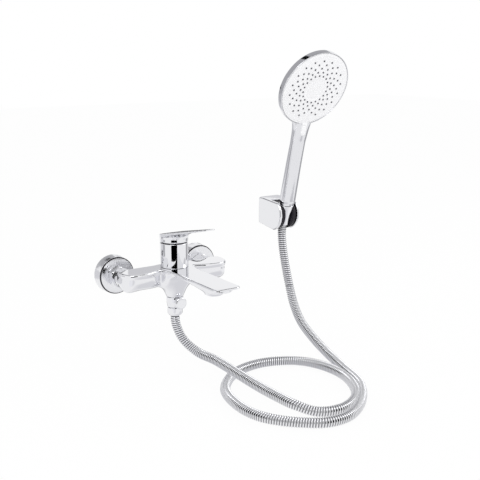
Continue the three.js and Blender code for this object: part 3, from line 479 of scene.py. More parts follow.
def add_node(tree: bpy.types.NodeTree, kind: str, inputs: dict) -> bpy.types.Node:
    """Adds a shader node of a kind and fills its inputs."""
    return feed(tree.nodes.new("ShaderNode" + kind), inputs)


def add_math(tree: bpy.types.NodeTree, operation: str, first: object, second: object,
             clamp: bool = False) -> bpy.types.NodeSocket:
    """Adds a Math node that works on two sockets or numbers.

    Args:
        tree: Tree that it goes to.
        operation: The node's operation.
        first: First socket or number.
        second: Second socket or number.
        clamp: Whether the outcome is kept between 0 and 1.

    Returns:
        The outcome's socket.
    """
    node = tree.nodes.new("ShaderNodeMath")
    node.operation = operation
    node.use_clamp = clamp
    return feed(node, {0: first, 1: second}).outputs["Value"]


def add_tint(tree: bpy.types.NodeTree, share: bpy.types.NodeSocket, plain: Sequence[float],
             tinted: Sequence[float]) -> bpy.types.NodeSocket:
    """Adds a mix from a plain colour to a tinted one by a share.

    Args:
        tree: Tree that it goes to.
        share: Socket that says how much of the tint shows.
        plain: Colour where the share is 0.
        tinted: Colour where it is 1.

    Returns:
        The colour's socket.
    """
    node = tree.nodes.new("ShaderNodeMix")
    node.data_type = "RGBA"
    return feed(node, {"A": (*plain, 1), "B": (*tinted, 1), "Factor": share}).outputs["Result"]


def seen_or_mirrored(tree: bpy.types.NodeTree) -> bpy.types.NodeSocket:
    """Adds a socket that is 1 for camera and mirror rays and 0 for the rest."""
    path = tree.nodes.new("ShaderNodeLightPath")
    return add_math(tree, "MAXIMUM", path.outputs["Is Camera Ray"], path.outputs["Is Glossy Ray"])


def emptied(name: str) -> bpy.types.Material:
    """Makes a node material with no nodes in it yet.

    Args:
        name: Name of the material.

    Returns:
        The material.
    """
    made = bpy.data.materials.new(name)
    made.use_nodes = True
    made.node_tree.nodes.clear()
    return made


# ------------------------------------------------------------------ finishes
class Slot(Enum):
    """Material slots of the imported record."""

    CHROME = "chrome"
    BRASS = "brass"
    STEEL = "steel"
    CERAMIC = "ceramic"
    CHROMED_PLASTIC = "chromed_plastic"
    WHITE_PLASTIC = "white_plastic"
    GREY_PLASTIC = "grey_plastic"
    BLACK_PLASTIC = "black_plastic"
    RUBBER = "rubber"
    HOSE_METAL = "hose_metal"


@dataclass(frozen=True)
class Finish:
    """One surface finish: its slot in the record, its colour, gloss and fine grain."""

    name: str
    slot: Slot
    colour: tuple[float, float, float]
    metallic: float = 0.0
    roughness: float = 0.3
    roughness_spread: float = 0.05
    grain: float = 400.0
    grain_stretch: tuple[float, float, float] = (1, 1, 1)
    relief: float = 0.05
    mottle: float = 0.0
    coat: float = 0.0
    specular: float = 0.5

    def material(self) -> bpy.types.Material:
        """Makes the finish a node material, or gives it back where it is made already.

        Noise on the piece's own coordinates varies the roughness and raises the fine relief,
        and a broader noise shifts the colour a little where the finish is mottled.

        Returns:
            The material.
        """
        known = bpy.data.materials.get(self.name)
        if known is not None:
            return known
        made = bpy.data.materials.new(self.name)
        made.use_nodes = True
        tree = made.node_tree
        place = add_node(tree, "TexCoord", {}).outputs["Object"]
        stretch = add_node(tree, "Mapping", {"Vector": place, "Scale": self.grain_stretch})
        grain = add_node(tree, "TexNoise", {
            "Vector": stretch.outputs["Vector"], "Scale": self.grain, "Detail": 4}).outputs["Fac"]
        rough = add_node(tree, "MapRange", {
            "Value": grain, "From Min": NOISE_RANGE[0], "From Max": NOISE_RANGE[1],
            "To Min": max(0.0, self.roughness - self.roughness_spread),
            "To Max": self.roughness + self.roughness_spread})
        bump = add_node(tree, "Bump", {
            "Height": grain, "Strength": self.relief, "Distance": RELIEF_HEIGHT})
        shader = next(n for n in tree.nodes if n.type == "BSDF_PRINCIPLED")
        feed(shader, {
            "Base Color": (*self.colour, 1), "Metallic": self.metallic,
            "Specular IOR Level": self.specular, "Coat Weight": self.coat,
            "Coat Roughness": COAT_ROUGHNESS, "Roughness": rough.outputs["Result"],
            "Normal": bump.outputs["Normal"]})
        if self.mottle:
            patches = add_node(tree, "TexNoise", {
                "Vector": place, "Scale": self.grain * PATCH_SHARE}).outputs["Fac"]
            darker = tuple(c * (1 - self.mottle) for c in self.colour)
            feed(shader, {"Base Color": add_tint(tree, patches, self.colour, darker)})
        return made

    def on(self, piece: bpy.types.Object) -> None:
        """Gives a piece this finish all over."""
        piece.data.materials.clear()
        piece.data.materials.append(self.material())


# Relief in metres, roughness of a clear coat, scale of the patches against the grain, and the
# part of the noise's range that the roughness follows.
RELIEF_HEIGHT = 0.0002
COAT_ROUGHNESS = 0.06
PATCH_SHARE = 0.1
NOISE_RANGE = (0.3, 0.7)

CHROME = Finish("polished_chrome", Slot.CHROME, (0.82, 0.823, 0.845), 1.0, 0.045, 0.02, 900,
                relief=0.012)
SATIN_CHROME = Finish("satin_chrome", Slot.CHROME, (0.8, 0.803, 0.825), 1.0, 0.17, 0.03, 900,
                      relief=0.02)
CHROMED_PLASTIC = Finish("plated_shell", Slot.CHROMED_PLASTIC, (0.77, 0.773, 0.8), 1.0, 0.1, 0.03,
                         700, relief=0.02)
BRASS = Finish("turned_brass", Slot.BRASS, (0.69, 0.52, 0.25), 1.0, 0.32, 0.08, 600, (1, 1, 6),
               0.15, 0.12)
STEEL = Finish("brushed_steel", Slot.STEEL, (0.6, 0.61, 0.63), 1.0, 0.3, 0.08, 500, (8, 1, 1),
               0.15, 0.05)
CERAMIC = Finish("lapped_ceramic", Slot.CERAMIC, (0.92, 0.91, 0.88), 0.0, 0.25, 0.05, 900,
                 relief=0.02)
WHITE = Finish("glossy_white", Slot.WHITE_PLASTIC, (0.95, 0.95, 0.965), 0.0, 0.28, 0.05, 1500,
               relief=0.03, coat=0.2)
GREY = Finish("soft_grey", Slot.GREY_PLASTIC, (0.42, 0.43, 0.46), 0.0, 0.5, 0.06, 1500,
              relief=0.06, mottle=0.04)
NOZZLE = Finish("nozzle_rubber", Slot.GREY_PLASTIC, (0.09, 0.09, 0.105), 0.0, 0.55, 0.06, 2500,
                relief=0.08)
BLACK = Finish("satin_black", Slot.BLACK_PLASTIC, (0.016, 0.014, 0.02), 0.0, 0.38, 0.05, 1800,
               relief=0.08, specular=0.2)
RUBBER = Finish("black_rubber", Slot.RUBBER, (0.015, 0.015, 0.016), 0.0, 0.75, 0.08, 1200,
                relief=0.15, mottle=0.1)
HOSE = Finish("hose_ribs", Slot.HOSE_METAL, (0.9, 0.905, 0.93), 1.0, 0.16, 0.05, 900, relief=0.03)
# Painted shade: the colour that the hose's metal darkens to in its grooves, where shade falls.
GROOVE_SHADE_COLOUR = (0.04, 0.04, 0.05)
FINISHES: dict[Slot, Finish] = {finish.slot: finish for finish in (
    CHROME, BRASS, STEEL, CERAMIC, CHROMED_PLASTIC, WHITE, GREY, BLACK, RUBBER, HOSE)}


def mount(piece: bpy.types.Object, body: str, finish: Finish, *nodes: str) -> None:
    """Finishes a piece, lets it ride on a body and stand for CAD nodes, and reports it.

    Args:
        piece: The new piece, in place.
        body: CAD body that it moves with.
        finish: Its finish, which also names its material slot.
        *nodes: CAD nodes that it stands for.
    """
    finish.on(piece)
    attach(piece, body)
    if nodes:
        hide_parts(*nodes)
    LOG.info("%s rides on %s, %d faces", piece.name, body, len(piece.data.polygons))


# ------------------------------------------------------------------ wall connection
FRONT = (0.0, -1.0, 0.0)
WALL_INLET = 75.0
BODY_AXIS = -69.0
ON_AXIS = Place(shift=(0, BODY_AXIS, 0))


@dataclass
class WallConnection:
    """Rosette and union nut of one side."""

    side: str
    across: float
    rosette_radius: float = 29.5
    rosette_back_radius: float = 30.2
    rosette_depth: float = 21.0
    rosette_wall: float = 1.2
    bevel_across: float = 1.2
    bevel_deep: float = 2.3
    hole_radius: float = 13.5
    nut_flats: float = 30.0
    nut_back: float = 21.3
    nut_front: float = 33.7
    nipple_bore: float = 11.1
    segments: int = 144

    def rosette(self) -> Shape:
        """Thin cup turned about the inlet, open at the wall and drilled for the connector.

        Returns:
            The cup, with its axis on z.
        """
        wall, depth, hole = self.rosette_wall, self.rosette_depth, self.hole_radius
        radius, back = self.rosette_radius, self.rosette_back_radius
        bevel, step = radius - self.bevel_across, depth - self.bevel_deep
        return turned([
            (back - wall, 0.3), (back, 0.3), (radius, step), (bevel - 0.6, step),
            (bevel - 0.6, depth), (hole, depth), (hole, depth - 3.5), (hole + 2, depth - 3.5),
            (hole + 2, depth - wall), (bevel - 1.6, depth - wall), (bevel - 1.6, step - wall),
            (radius - wall, step - wall),
        ], edge=0.45, segments=self.segments)

    def shadow_line_ring(self) -> Shape:
        """Black bevelled ring between the rosette's wall and its front, a painted shadow line: it
        stands in for the shade of a gap there.

        Returns:
            The ring, with its axis on z.
        """
        radius, depth, bevel = self.rosette_radius, self.rosette_depth, self.bevel_across
        inner = radius - bevel - 0.6
        return turned([
            (inner, depth - self.bevel_deep), (radius - 0.05, depth - self.bevel_deep),
            (radius - bevel, depth - 0.1), (inner, depth - 0.1),
        ], edge=0.3, segments=self.segments)

    def union_nut(self) -> Shape:
        """Turned nut whose radius is held under a hexagon's: half the flats over a cosine.

        Returns:
            The nut, with its axis on z.
        """
        half, back, front = self.nut_flats / 2, self.nut_back, self.nut_front
        hole, bore, seat = self.hole_radius, self.nipple_bore, self.nut_front - 4.2
        angle = np.linspace(0, 2 * np.pi, self.segments, endpoint=False)
        sixth = np.pi / 3
        return turned([
            (hole, back), (half, back), (half + 2.3, back + 1.3), (half + 2.3, front - 1.3),
            (half, front), (bore, front), (bore, seat), (hole, seat),
        ], edge=0.3, segments=self.segments,
            limit=half / np.cos(np.mod(angle + sixth / 2, sixth) - sixth / 2))

    def build(self) -> None:
        """Makes the pieces and mounts them."""
        place = Place.along(FRONT, (self.across, 0, 0))
        rosette = self.rosette().moved(place).piece(f"rosette_{self.side}_shell")
        mount(rosette, "fixed", SATIN_CHROME, f"rosette_{self.side}")
        # Painted shadow: the black ring stands in for the dark shadow line at the rosette's front
        # edge.
        mount(self.shadow_line_ring().moved(place).piece(f"rosette_{self.side}_bevel"), "fixed", BLACK)
        nut = self.union_nut().moved(place).piece(f"union_nut_{self.side}_hexagon", sharp=20)
        mount(nut, "fixed", CHROME, f"union_nut_{self.side}")


# ------------------------------------------------------------------ mixer body
@dataclass
class MixerBody:
    """Chrome casting: round-ended bar, column under the dome, flat spout on a hull, and bell."""

    axis: float = BODY_AXIS
    deck: float = 15.5
    half_length: float = 90.5
    half_depth: float = 20.5
    end_radius: float = 22.0
    back_corner: float = 8.0
    column: float = 24.5
    belly_level: float = 6.6
    bell_bottom: float = -33.0
    neck: float = 13.0
    spout_tip: float = -227.0
    spout_half: float = 22.0
    spout_corner: float = 9.0
    hull_tip: float = -222.0
    spout_edge: float = 2.9
    hull_half: float = 17.0
    hull_level: float = 8.0
    keel: float = -1.8
    aerator_from_wall: float = -185.0
    aerator_radius: float = 11.0
    arm_radius: float = 16.0
    arm_back: float = -34.0
    sleeve_radius: float = 20.4
    sleeve_top: float = 40.3
    pocket_radius: float = 17.7
    pocket_floor: float = 8.0
    bell_power: float = 2.1
    ball_radius: float = 25.5
    bar_edge: float = 9.0
    bell_fillet: float = 13.0
    spout_fillet: float = 7.0
    top_edge: float = 2.4

    def plan(self) -> Array:
        """Outline of the deck from above: arcs, a curve to the waist, and the spout, mirrored.

        Returns:
            The outline's points, one row each.
        """
        back, front = self.axis + self.half_depth, self.axis - self.half_depth
        end, waist = self.half_length - self.end_radius, (self.column + 5.5, self.axis - 7)
        straight = self.axis - 56
        corner = self.half_length - self.back_corner
        half = np.vstack([
            arc(corner, back - self.back_corner, self.back_corner, 90, 0, 8),
            arc(end, front + self.end_radius, self.end_radius, 0, -90, 18),
            bezier([(end, front), (end - 14, front), (waist[0] + 12, waist[1] - 7), waist]),
            bezier([waist, (self.column + 0.5, waist[1] + 3), (self.column, waist[1] - 9)], 8),
            bezier([(self.column, waist[1] - 9), (self.column, straight + 28),
                    (self.spout_half, straight + 16), (self.spout_half, straight)]),
            arc(self.spout_half - self.spout_corner, self.spout_tip + self.spout_corner,
                self.spout_corner, 0, -90, 10),
        ])
        return np.vstack([half, (half * (-1, 1))[::-1]])

    def keel_line(self, y: Array) -> Array:
        """Height of the hull's lowest line at each distance from the wall.

        Args:
            y: Distances along y.

        Returns:
            The heights, in the shape of y.
        """
        side = np.vstack([
            bezier([(self.axis - 12.5, self.deck - 10), (-135, self.deck - 9.5),
                    (-155, self.keel + 3), (-175, self.keel)]),
            bezier([(-193, self.keel), (-201, self.keel + 1), (-211, self.deck - 9),
                    (self.hull_tip, self.deck - 2.8)]),
        ])
        order = np.argsort(side[:, 0])
        return np.interp(y, side[order, 0], side[order, 1])

    def bell_radius(self, z: Array) -> Array:
        """Radius of the bell: from the neck to the column along a power curve."""
        share = np.clip((z - self.bell_bottom) / (self.deck - self.bell_bottom), 0, 1)
        return self.neck + (self.column - self.neck) * (1 - (1 - share) ** self.bell_power)

    def solid(self, points: Array) -> Array:
        """Distance field of the casting.

        The bar is the deeper of its section and the plan, the spout is the plan cut to a thin
        slab, the hull is an ellipse in x and z whose depth follows the keel line, and the bell
        is a turned shape. They join with round fillets, and the pocket is taken away.

        Args:
            points: Points in millimetres, any leading shape.

        Returns:
            The field, below zero in the metal.
        """
        x, y, z = points[..., 0], points[..., 1], points[..., 2]
        plan = outline_distance(x, y, self.outline)
        away, top = y - self.axis, z - self.deck
        section = np.hypot(away, z - self.belly_level)
        section = np.where(z > self.belly_level, np.abs(away), section) - self.half_depth
        bar = smooth_max(section, plan, self.bar_edge)
        bar = smooth_max(bar, np.abs(x) - self.half_length, 5.0)
        ball = np.maximum(np.abs(x) - (self.half_length - 24), 0)
        ball = np.hypot(np.hypot(ball, away), z - 4) - self.ball_radius
        bar = smooth_max(bar, ball, 3.0)
        rho = np.hypot(x, away)
        bell = smooth_max((rho - self.bell_radius(z)) * 0.88, self.bell_bottom - z, 1.0)
        arms = np.hypot(np.abs(x) - WALL_INLET, z) - self.arm_radius
        arms = np.maximum(smooth_max(arms, y - self.arm_back, 1.2), self.axis - y)
        body = smooth_min(smooth_min(bar, bell, self.bell_fillet), arms, 5.0)
        slab = smooth_max(plan, self.deck - self.spout_edge - z, 1.2)
        depth = np.maximum(self.hull_level - self.keel_line(y), 0.8)
        below = np.minimum(z - self.hull_level, 0)
        bowl = np.sqrt((x / self.hull_half) ** 2 + (below / depth) ** 2)
        hull = (bowl - 1) * np.minimum(self.hull_half, depth) * 0.9
        nose = np.hypot(x, y - self.hull_tip - self.hull_half) - self.hull_half
        ends = np.where(y < self.hull_tip + self.hull_half, nose, np.abs(x) - self.hull_half)
        hull = smooth_max(smooth_max(hull, ends, 2.0), y - self.axis, 1.0)
        outlet = np.hypot(x, y - self.aerator_from_wall) - self.aerator_radius
        boss = smooth_max(outlet - 1.8, np.maximum(self.keel - z, top), 0.8)
        spout = smooth_min(smooth_min(slab, hull, 1.5), boss, 4.0)
        body = smooth_max(smooth_min(body, spout, self.spout_fillet), top, self.top_edge)
        body = np.maximum(body, -np.maximum(outlet - 0.3, z - 7.3))
        sleeve = np.maximum(rho - self.sleeve_radius, np.maximum(z - self.sleeve_top, -z))
        pocket = np.maximum(rho - self.pocket_radius, self.pocket_floor - z)
        return np.maximum(np.minimum(body, sleeve), -pocket)

    def build(self) -> None:
        """Makes the casting and its aerator, and mounts them."""
        self.outline = self.plan()
        shape = fitted_surface(self.solid, (-93, -229, -34.6), (93, -32, 41.6), 1.15)
        mount(shape.piece("mixer_casting", sharp=FITTED_SHARP), "fixed", CHROME, "mixer_body")
        radius, low, high = self.aerator_radius, -3.0, 4.7
        housing = turned([
            (radius - 2.5, low), (radius, low), (radius, high), (radius - 1.2, high),
            (radius - 1.2, low + 1.2), (radius - 2.5, low + 1.2),
        ], edge=0.5).moved(Place(shift=(0, self.aerator_from_wall, 0)))
        mount(housing.piece("aerator_ring"), "fixed", CHROME, "aerator_housing")


# ------------------------------------------------------------------ dome and lever
@dataclass
class DomeAndLever:
    """Dome sleeve over the cartridge, the dark ring in its joint, and the lever."""

    axis: float = BODY_AXIS
    radius: float = 22.1
    wall: float = 1.2
    bottom: float = 15.8
    top: float = 54.0
    mouth: float = 14.5
    cap_bottom: float = 55.8
    cap_taper: float = 0.9
    cap_wall: float = 1.9
    rise: float = 13.3
    slope: float = 0.216
    reach: float = 107.0
    tip_half: float = 11.0
    tip_corner: float = 6.0
    blade: float = 4.0
    blade_tip: float = 1.6
    hub_top: float = 61.5
    hub_radius: float = 7.5
    ring_inner: float = 17.2
    ring_outer: float = 20.0
    flare_levels: tuple[float, ...] = (6, 10, 12.8, 15.2, 17)
    flare_growth: tuple[float, ...] = (0, 1.2, 4, 9, 13)

    def dome(self) -> Shape:
        """Sleeve with a closed rim on top, turned about the cartridge's axis.

        Returns:
            The sleeve, in place.
        """
        inner = self.radius - self.wall
        return turned([
            (inner, self.bottom), (self.radius, self.bottom), (self.radius, self.top),
            (self.mouth, self.top), (self.mouth, self.top - self.wall),
            (inner, self.top - self.wall),
        ], edge=1.1, segments=160).moved(ON_AXIS)

    def ring(self) -> Shape:
        """Black glide ring that shows in the joint under the cap.

        Returns:
            The ring, in place.
        """
        inner, outer, low, high = self.ring_inner, self.ring_outer, self.top - 1, self.top + 1.5
        return turned([(inner, low), (outer, low), (outer, high), (inner, high)],
                      edge=0.4).moved(ON_AXIS)

    def plan(self) -> Array:
        """Outline of the lever from above: the cap's arc and a narrow rounded tip.

        Returns:
            The outline's points, one row each.
        """
        tip = self.axis - self.reach
        lean = math.degrees(math.atan2(self.radius - self.tip_half, self.reach))
        inner = self.tip_half - self.tip_corner
        return np.vstack([
            arc(0, self.axis, self.radius, 180 + lean, -lean, 60),
            arc(inner, tip + self.tip_corner, self.tip_corner, 0, -90, 8),
            arc(-inner, tip + self.tip_corner, self.tip_corner, -90, -180, 8),
        ])

    def lever(self, points: Array) -> Array:
        """Distance field of the lever.

        The cap is a cylinder, the blade lies between two slopes inside the plan, and a flare
        whose radius grows with height fills the corner between them. One slope cuts all of
        them on top, and the hollow of the cap is taken away around its hub.

        Args:
            points: Points in millimetres, any leading shape.

        Returns:
            The field, below zero in the metal.
        """
        x, y, z = points[..., 0], points[..., 1], points[..., 2]
        plan = outline_distance(x, y, self.outline)
        level, tip = self.cap_bottom, self.axis - self.reach
        rho = np.hypot(x, y - self.axis)
        top = (z - (level + self.rise - self.slope * (y - self.axis))) * 0.977
        taper = self.cap_taper * np.clip(1 - (z - level) / 12, 0, 1)
        cap = (rho - self.radius + taper) * 0.99
        front = self.axis - self.radius - 6
        share = np.clip((y - tip) / (front - tip), 0, 1.4)
        thick = self.blade_tip + (self.blade - self.blade_tip) * share
        blade = smooth_max(plan, -top - thick, 1.0)
        flare = rho - np.interp(z, level + np.array(self.flare_levels),
                                self.radius + np.array(self.flare_growth))
        flare = smooth_max(flare * 0.8, plan, 1.0)
        metal = smooth_min(cap, smooth_min(blade, flare, 2.0), 2.0)
        metal = smooth_max(smooth_max(metal, top, 1.1), level - z, 0.8)
        hollow = np.maximum(rho - self.radius + self.cap_wall, z - self.hub_top)
        hub = np.maximum(rho - self.hub_radius, np.maximum(50.0 - z, z - self.hub_top - 0.4))
        return np.minimum(np.maximum(metal, -hollow), hub)

    def build(self) -> None:
        """Makes the pieces and mounts them."""
        self.outline = self.plan()
        mount(self.dome().piece("dome"), "fixed", CHROME, "dome_sleeve")
        mount(self.ring().piece("glide_ring"), "fixed", BLACK)
        shape = fitted_surface(self.lever, (-24, -178, 48.5), (24, -45, 94), 0.85)
        mount(shape.piece("lever_blade", sharp=FITTED_SHARP), "handle", CHROME, "lever")


# ------------------------------------------------------------------ shower outlet
@dataclass
class ShowerOutlet:
    """Diverter collar with its pull knob, and the hose's lower nut."""

    axis: float = BODY_AXIS
    collar_top: float = -33.3
    collar_bottom: float = -49.7
    collar_radius: float = 13.3
    foot_radius: float = 11.8
    thread_radius: float = 9.9
    bore: float = 6.0
    knob_level: float = -41.0
    knob_radius: float = 9.6
    knob_face: float = 21.0
    knob_thickness: float = 4.0
    spindle_radius: float = 2.8
    neck_radius: float = 4.2
    neck_length: float = 3.2
    nut_top: float = -50.7
    nut_bottom: float = -63.9
    nut_radius: float = 11.8
    hose_radius: float = 7.6

    def collar(self) -> Shape:
        """Round collar that narrows to its foot, with the thread stubs above and below.

        Returns:
            The collar, in place.
        """
        top, bottom, thread = self.collar_top, self.collar_bottom, self.thread_radius
        stub_top, stub_bottom = -21.3, bottom - 7
        return turned([
            (self.bore, stub_top), (thread, stub_top), (thread, top), (self.collar_radius, top),
            (self.collar_radius, (top + bottom) / 2), (self.foot_radius, bottom),
            (thread, bottom), (thread, stub_bottom), (self.bore, stub_bottom),
        ], edge=0.7).moved(ON_AXIS)

    def knob(self) -> Shape:
        """Round button with a shallow dished face and a short neck, turned about the spindle.

        Returns:
            The knob, in place.
        """
        face, radius, spindle = self.knob_face, self.knob_radius, self.spindle_radius
        back = face - self.knob_thickness
        foot = back - self.neck_length
        return turned([
            (0, face - 0.6), (radius - 3.2, face - 0.35), (radius - 1.4, face),
            (radius, face - 1.0), (radius, back), (self.neck_radius, back),
            (self.neck_radius, foot), (spindle, foot), (spindle, face - 1.7), (0, face - 1.7),
        ], edge=0.7).moved(Place.along(FRONT, (0, self.axis, self.knob_level)))

    def nut(self) -> Shape:
        """Round hose nut with a long chamfer at the hose.

        Returns:
            The nut, in place.
        """
        top, bottom, radius = self.nut_top, self.nut_bottom, self.nut_radius
        thread, hose = self.thread_radius + 0.3, self.hose_radius
        return turned([
            (thread, top), (radius, top), (radius, bottom + 3.2), (hose + 1.6, bottom),
            (hose + 0.4, bottom), (hose + 0.4, bottom + 3), (thread, bottom + 3),
        ], edge=0.6).moved(ON_AXIS)

    def build(self) -> None:
        """Makes the pieces and mounts them."""
        mount(self.collar().piece("outlet_collar"), "fixed", CHROME, "diverter_collar")
        mount(self.knob().piece("pull_knob"), "diverter", CHROME, "diverter_knob")
        mount(self.nut().piece("mixer_hose_nut"), "fixed", CHROME, "hose_nut")


# ------------------------------------------------------------------ hose
@dataclass
class CorrugatedHose:
    """Metal shower hose, from the mixer's nut down to the loop and up to the hand shower."""

    radius: float = 7.6
    pitch: float = 3.6
    groove: float = 1.5
    rows_in_pitch: int = 8
    sides: int = 20
    route: tuple[tuple[float, float, float], ...] = (
        (0, -69, -65.5), (0, -69, -72), (2, -71, -85), (8, -80, -104), (21, -100, -121),
        (32, -138, -126), (35, -198, -130), (37, -242, -133), (39, -288, -134), (45, -324, -136),
        (65, -348, -142), (100, -359, -142.3), (146, -337, -142), (183, -270, -142),
        (183, -216, -142), (167, -182, -142), (139, -161, -142), (102, -152, -142),
        (52, -164, -142), (2, -212, -142.3), (-14, -274, -142.3), (-9, -317, -142.3),
        (7, -345, -142.3), (28, -366, -142.3), (54, -382, -142.3), (91, -383.5, -142.3),
        (137, -357, -142.3), (180, -306, -141), (196, -248, -137), (202, -201, -128),
        (207, -157, -115), (213, -119, -100), (221, -89, -80), (226, -72, -60), (228, -56, -25),
        (228, -46, 10), (228, -42.6, 35), (228, -43.3, 47), (228, -45.4, 54.6), (228, -47.3, 61.3),
    )
    bend: float = 190.0
    split: tuple[float, float] = (-68.0, -53.0)
    pivot: tuple[float, float] = (-37.0, 71.0)
    twist_reference: tuple[float, float, float] = (-0.7, -0.1, 0.7)
    rib_power: float = 1.4
    rising_share: float = 0.6
    bend_margin: int = 30
    tail_margins: tuple[int, int] = (20, 60)
    path_rows: int = 8
    sample_step: float = 2.0
    block: int = 4000

    def run(self, centre: Array, first: int) -> Shape:
        """Corrugated tube about a stretch of the curve.

        Across the tube a point lies at the radius less a groove. The groove is deepest where
        the sine of the running length, which also winds once round the tube in each pitch,
        is zero, so that the ribs form a screw.

        Args:
            centre: Even points of the stretch, one row each.
            first: How many rows of the whole hose come before it, to keep the ribs in step.

        Returns:
            The closed tube.
        """
        tangent = np.gradient(centre, axis=0)
        tangent /= np.linalg.norm(tangent, axis=1)[:, None]
        reference = np.array(self.twist_reference)
        normal = reference - (tangent @ reference)[:, None] * tangent
        normal /= np.linalg.norm(normal, axis=1)[:, None]
        binormal = np.cross(tangent, normal)
        angle = np.linspace(0, 2 * np.pi, self.sides, endpoint=False)
        turn = (np.arange(len(centre)) + first)[:, None] / self.rows_in_pitch
        turn = turn + angle[None] / (2 * np.pi)
        radius = self.radius - self.groove * (1 - np.abs(np.sin(np.pi * turn)) ** self.rib_power)
        radius[[0, -1]] = 0.0
        radius[[1, -2]] = self.radius - self.groove
        around = (np.cos(angle)[None, :, None] * normal[:, None]
                  + np.sin(angle)[None, :, None] * binormal[:, None])
        points = centre[:, None] + radius[..., None] * around
        points[0] = centre[1]
        points[-1] = centre[-2]
        return Shape.grid(points)

    def metal(self) -> bpy.types.Material:
        """Bright metal with painted shade in the grooves: it darkens there by the piece's own depth
        attribute.

        Returns:
            The material.
        """
        known = bpy.data.materials.get("ribbed_metal")
        if known is not None:
            return known
        made = HOSE.material()
        made.name = "ribbed_metal"
        tree = made.node_tree
        shader = next(n for n in tree.nodes if n.type == "BSDF_PRINCIPLED")
        depth = tree.nodes.new("ShaderNodeAttribute")
        depth.attribute_name = "groove_shade_depth"
        feed(shader, {
            "Base Color": add_tint(tree, depth.outputs["Fac"], HOSE.colour, GROOVE_SHADE_COLOUR)})
        return made

    def stretch(self, name: str, centre: Array, first: int) -> bpy.types.Object:
        """Makes one length of hose with its groove depth attribute, which paints shade into the
        grooves, and its metal.

        Args:
            name: Name of the piece.
            centre: Even points of its centre line, one row each.
            first: How many rows of the whole hose come before it.

        Returns:
            The new piece.
        """
        shape = self.run(centre, first)
        piece = shape.piece(name, sharp=180)
        spacing = np.linalg.norm(centre[1] - centre[0])
        sample = centre[::max(1, int(self.sample_step / spacing))]
        nearest = np.concatenate([
            np.min(np.linalg.norm(shape.points[start:start + self.block, None] - sample[None],
                                  axis=2), axis=1)
            for start in range(0, len(shape.points), self.block)])
        # Painted shade: this share darkens the metal's colour towards the bottom of each groove.
        depth = np.clip((self.radius - nearest) / self.groove, 0, 1)
        attribute = piece.data.attributes.new("groove_shade_depth", "FLOAT", "POINT")
        attribute.data.foreach_set("value", depth.astype(np.float32))
        piece.data.materials.append(self.metal())
        piece.visible_glossy = False
        return piece

    def build(self) -> None:
        """Makes the three lengths, lets the first ride on the fixed body, hides the CAD hoses and
        bakes the other two in place.
        """
        step = self.pitch / self.rows_in_pitch
        curve = route_curve(np.array(self.route, float), step)
        away = np.array(self.split) - np.array(self.pivot)
        past = (curve[:, 1:] - np.array(self.split)) @ (away / np.linalg.norm(away))
        rising = np.arange(len(curve)) > self.rising_share * len(curve)
        upper = int(np.argmax((past < 0) & rising))
        bend = upper - int(self.bend / step)
        lower_part, bend_part, tail_part = curve[:bend + 2], curve[bend:upper + 2], curve[upper:]
        run = self.stretch("hose_run", lower_part, 0)
        middle = self.stretch("hose_bend", bend_part, bend)
        tail = self.stretch("hose_tail_run", tail_part, upper)
        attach(run, "fixed")
        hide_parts("hose_main")
        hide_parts("hose_upper")
        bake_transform(middle)
        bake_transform(tail)


# ------------------------------------------------------------------ wall holder
# The cone that sits in the fork, and the places of the fork, the cone's top and the spray face.
CONE_TOP, CONE_BOTTOM, CONE_HEIGHT = 12.5, 9.0, 36.0
FORK_TILT, FACE_TILT = 15, 100.7
FORK_PIVOT, CONE_SEAT, FACE_CENTRE = (228, -37, 71), (0, -12.4, 21.4), (0, -19.9, 207.7)
TILT = Place.about_x(FORK_TILT, FORK_PIVOT)
SHOWER = Place(shift=CONE_SEAT).then(TILT)
HEAD = Place.about_x(FACE_TILT, FACE_CENTRE).then(SHOWER)


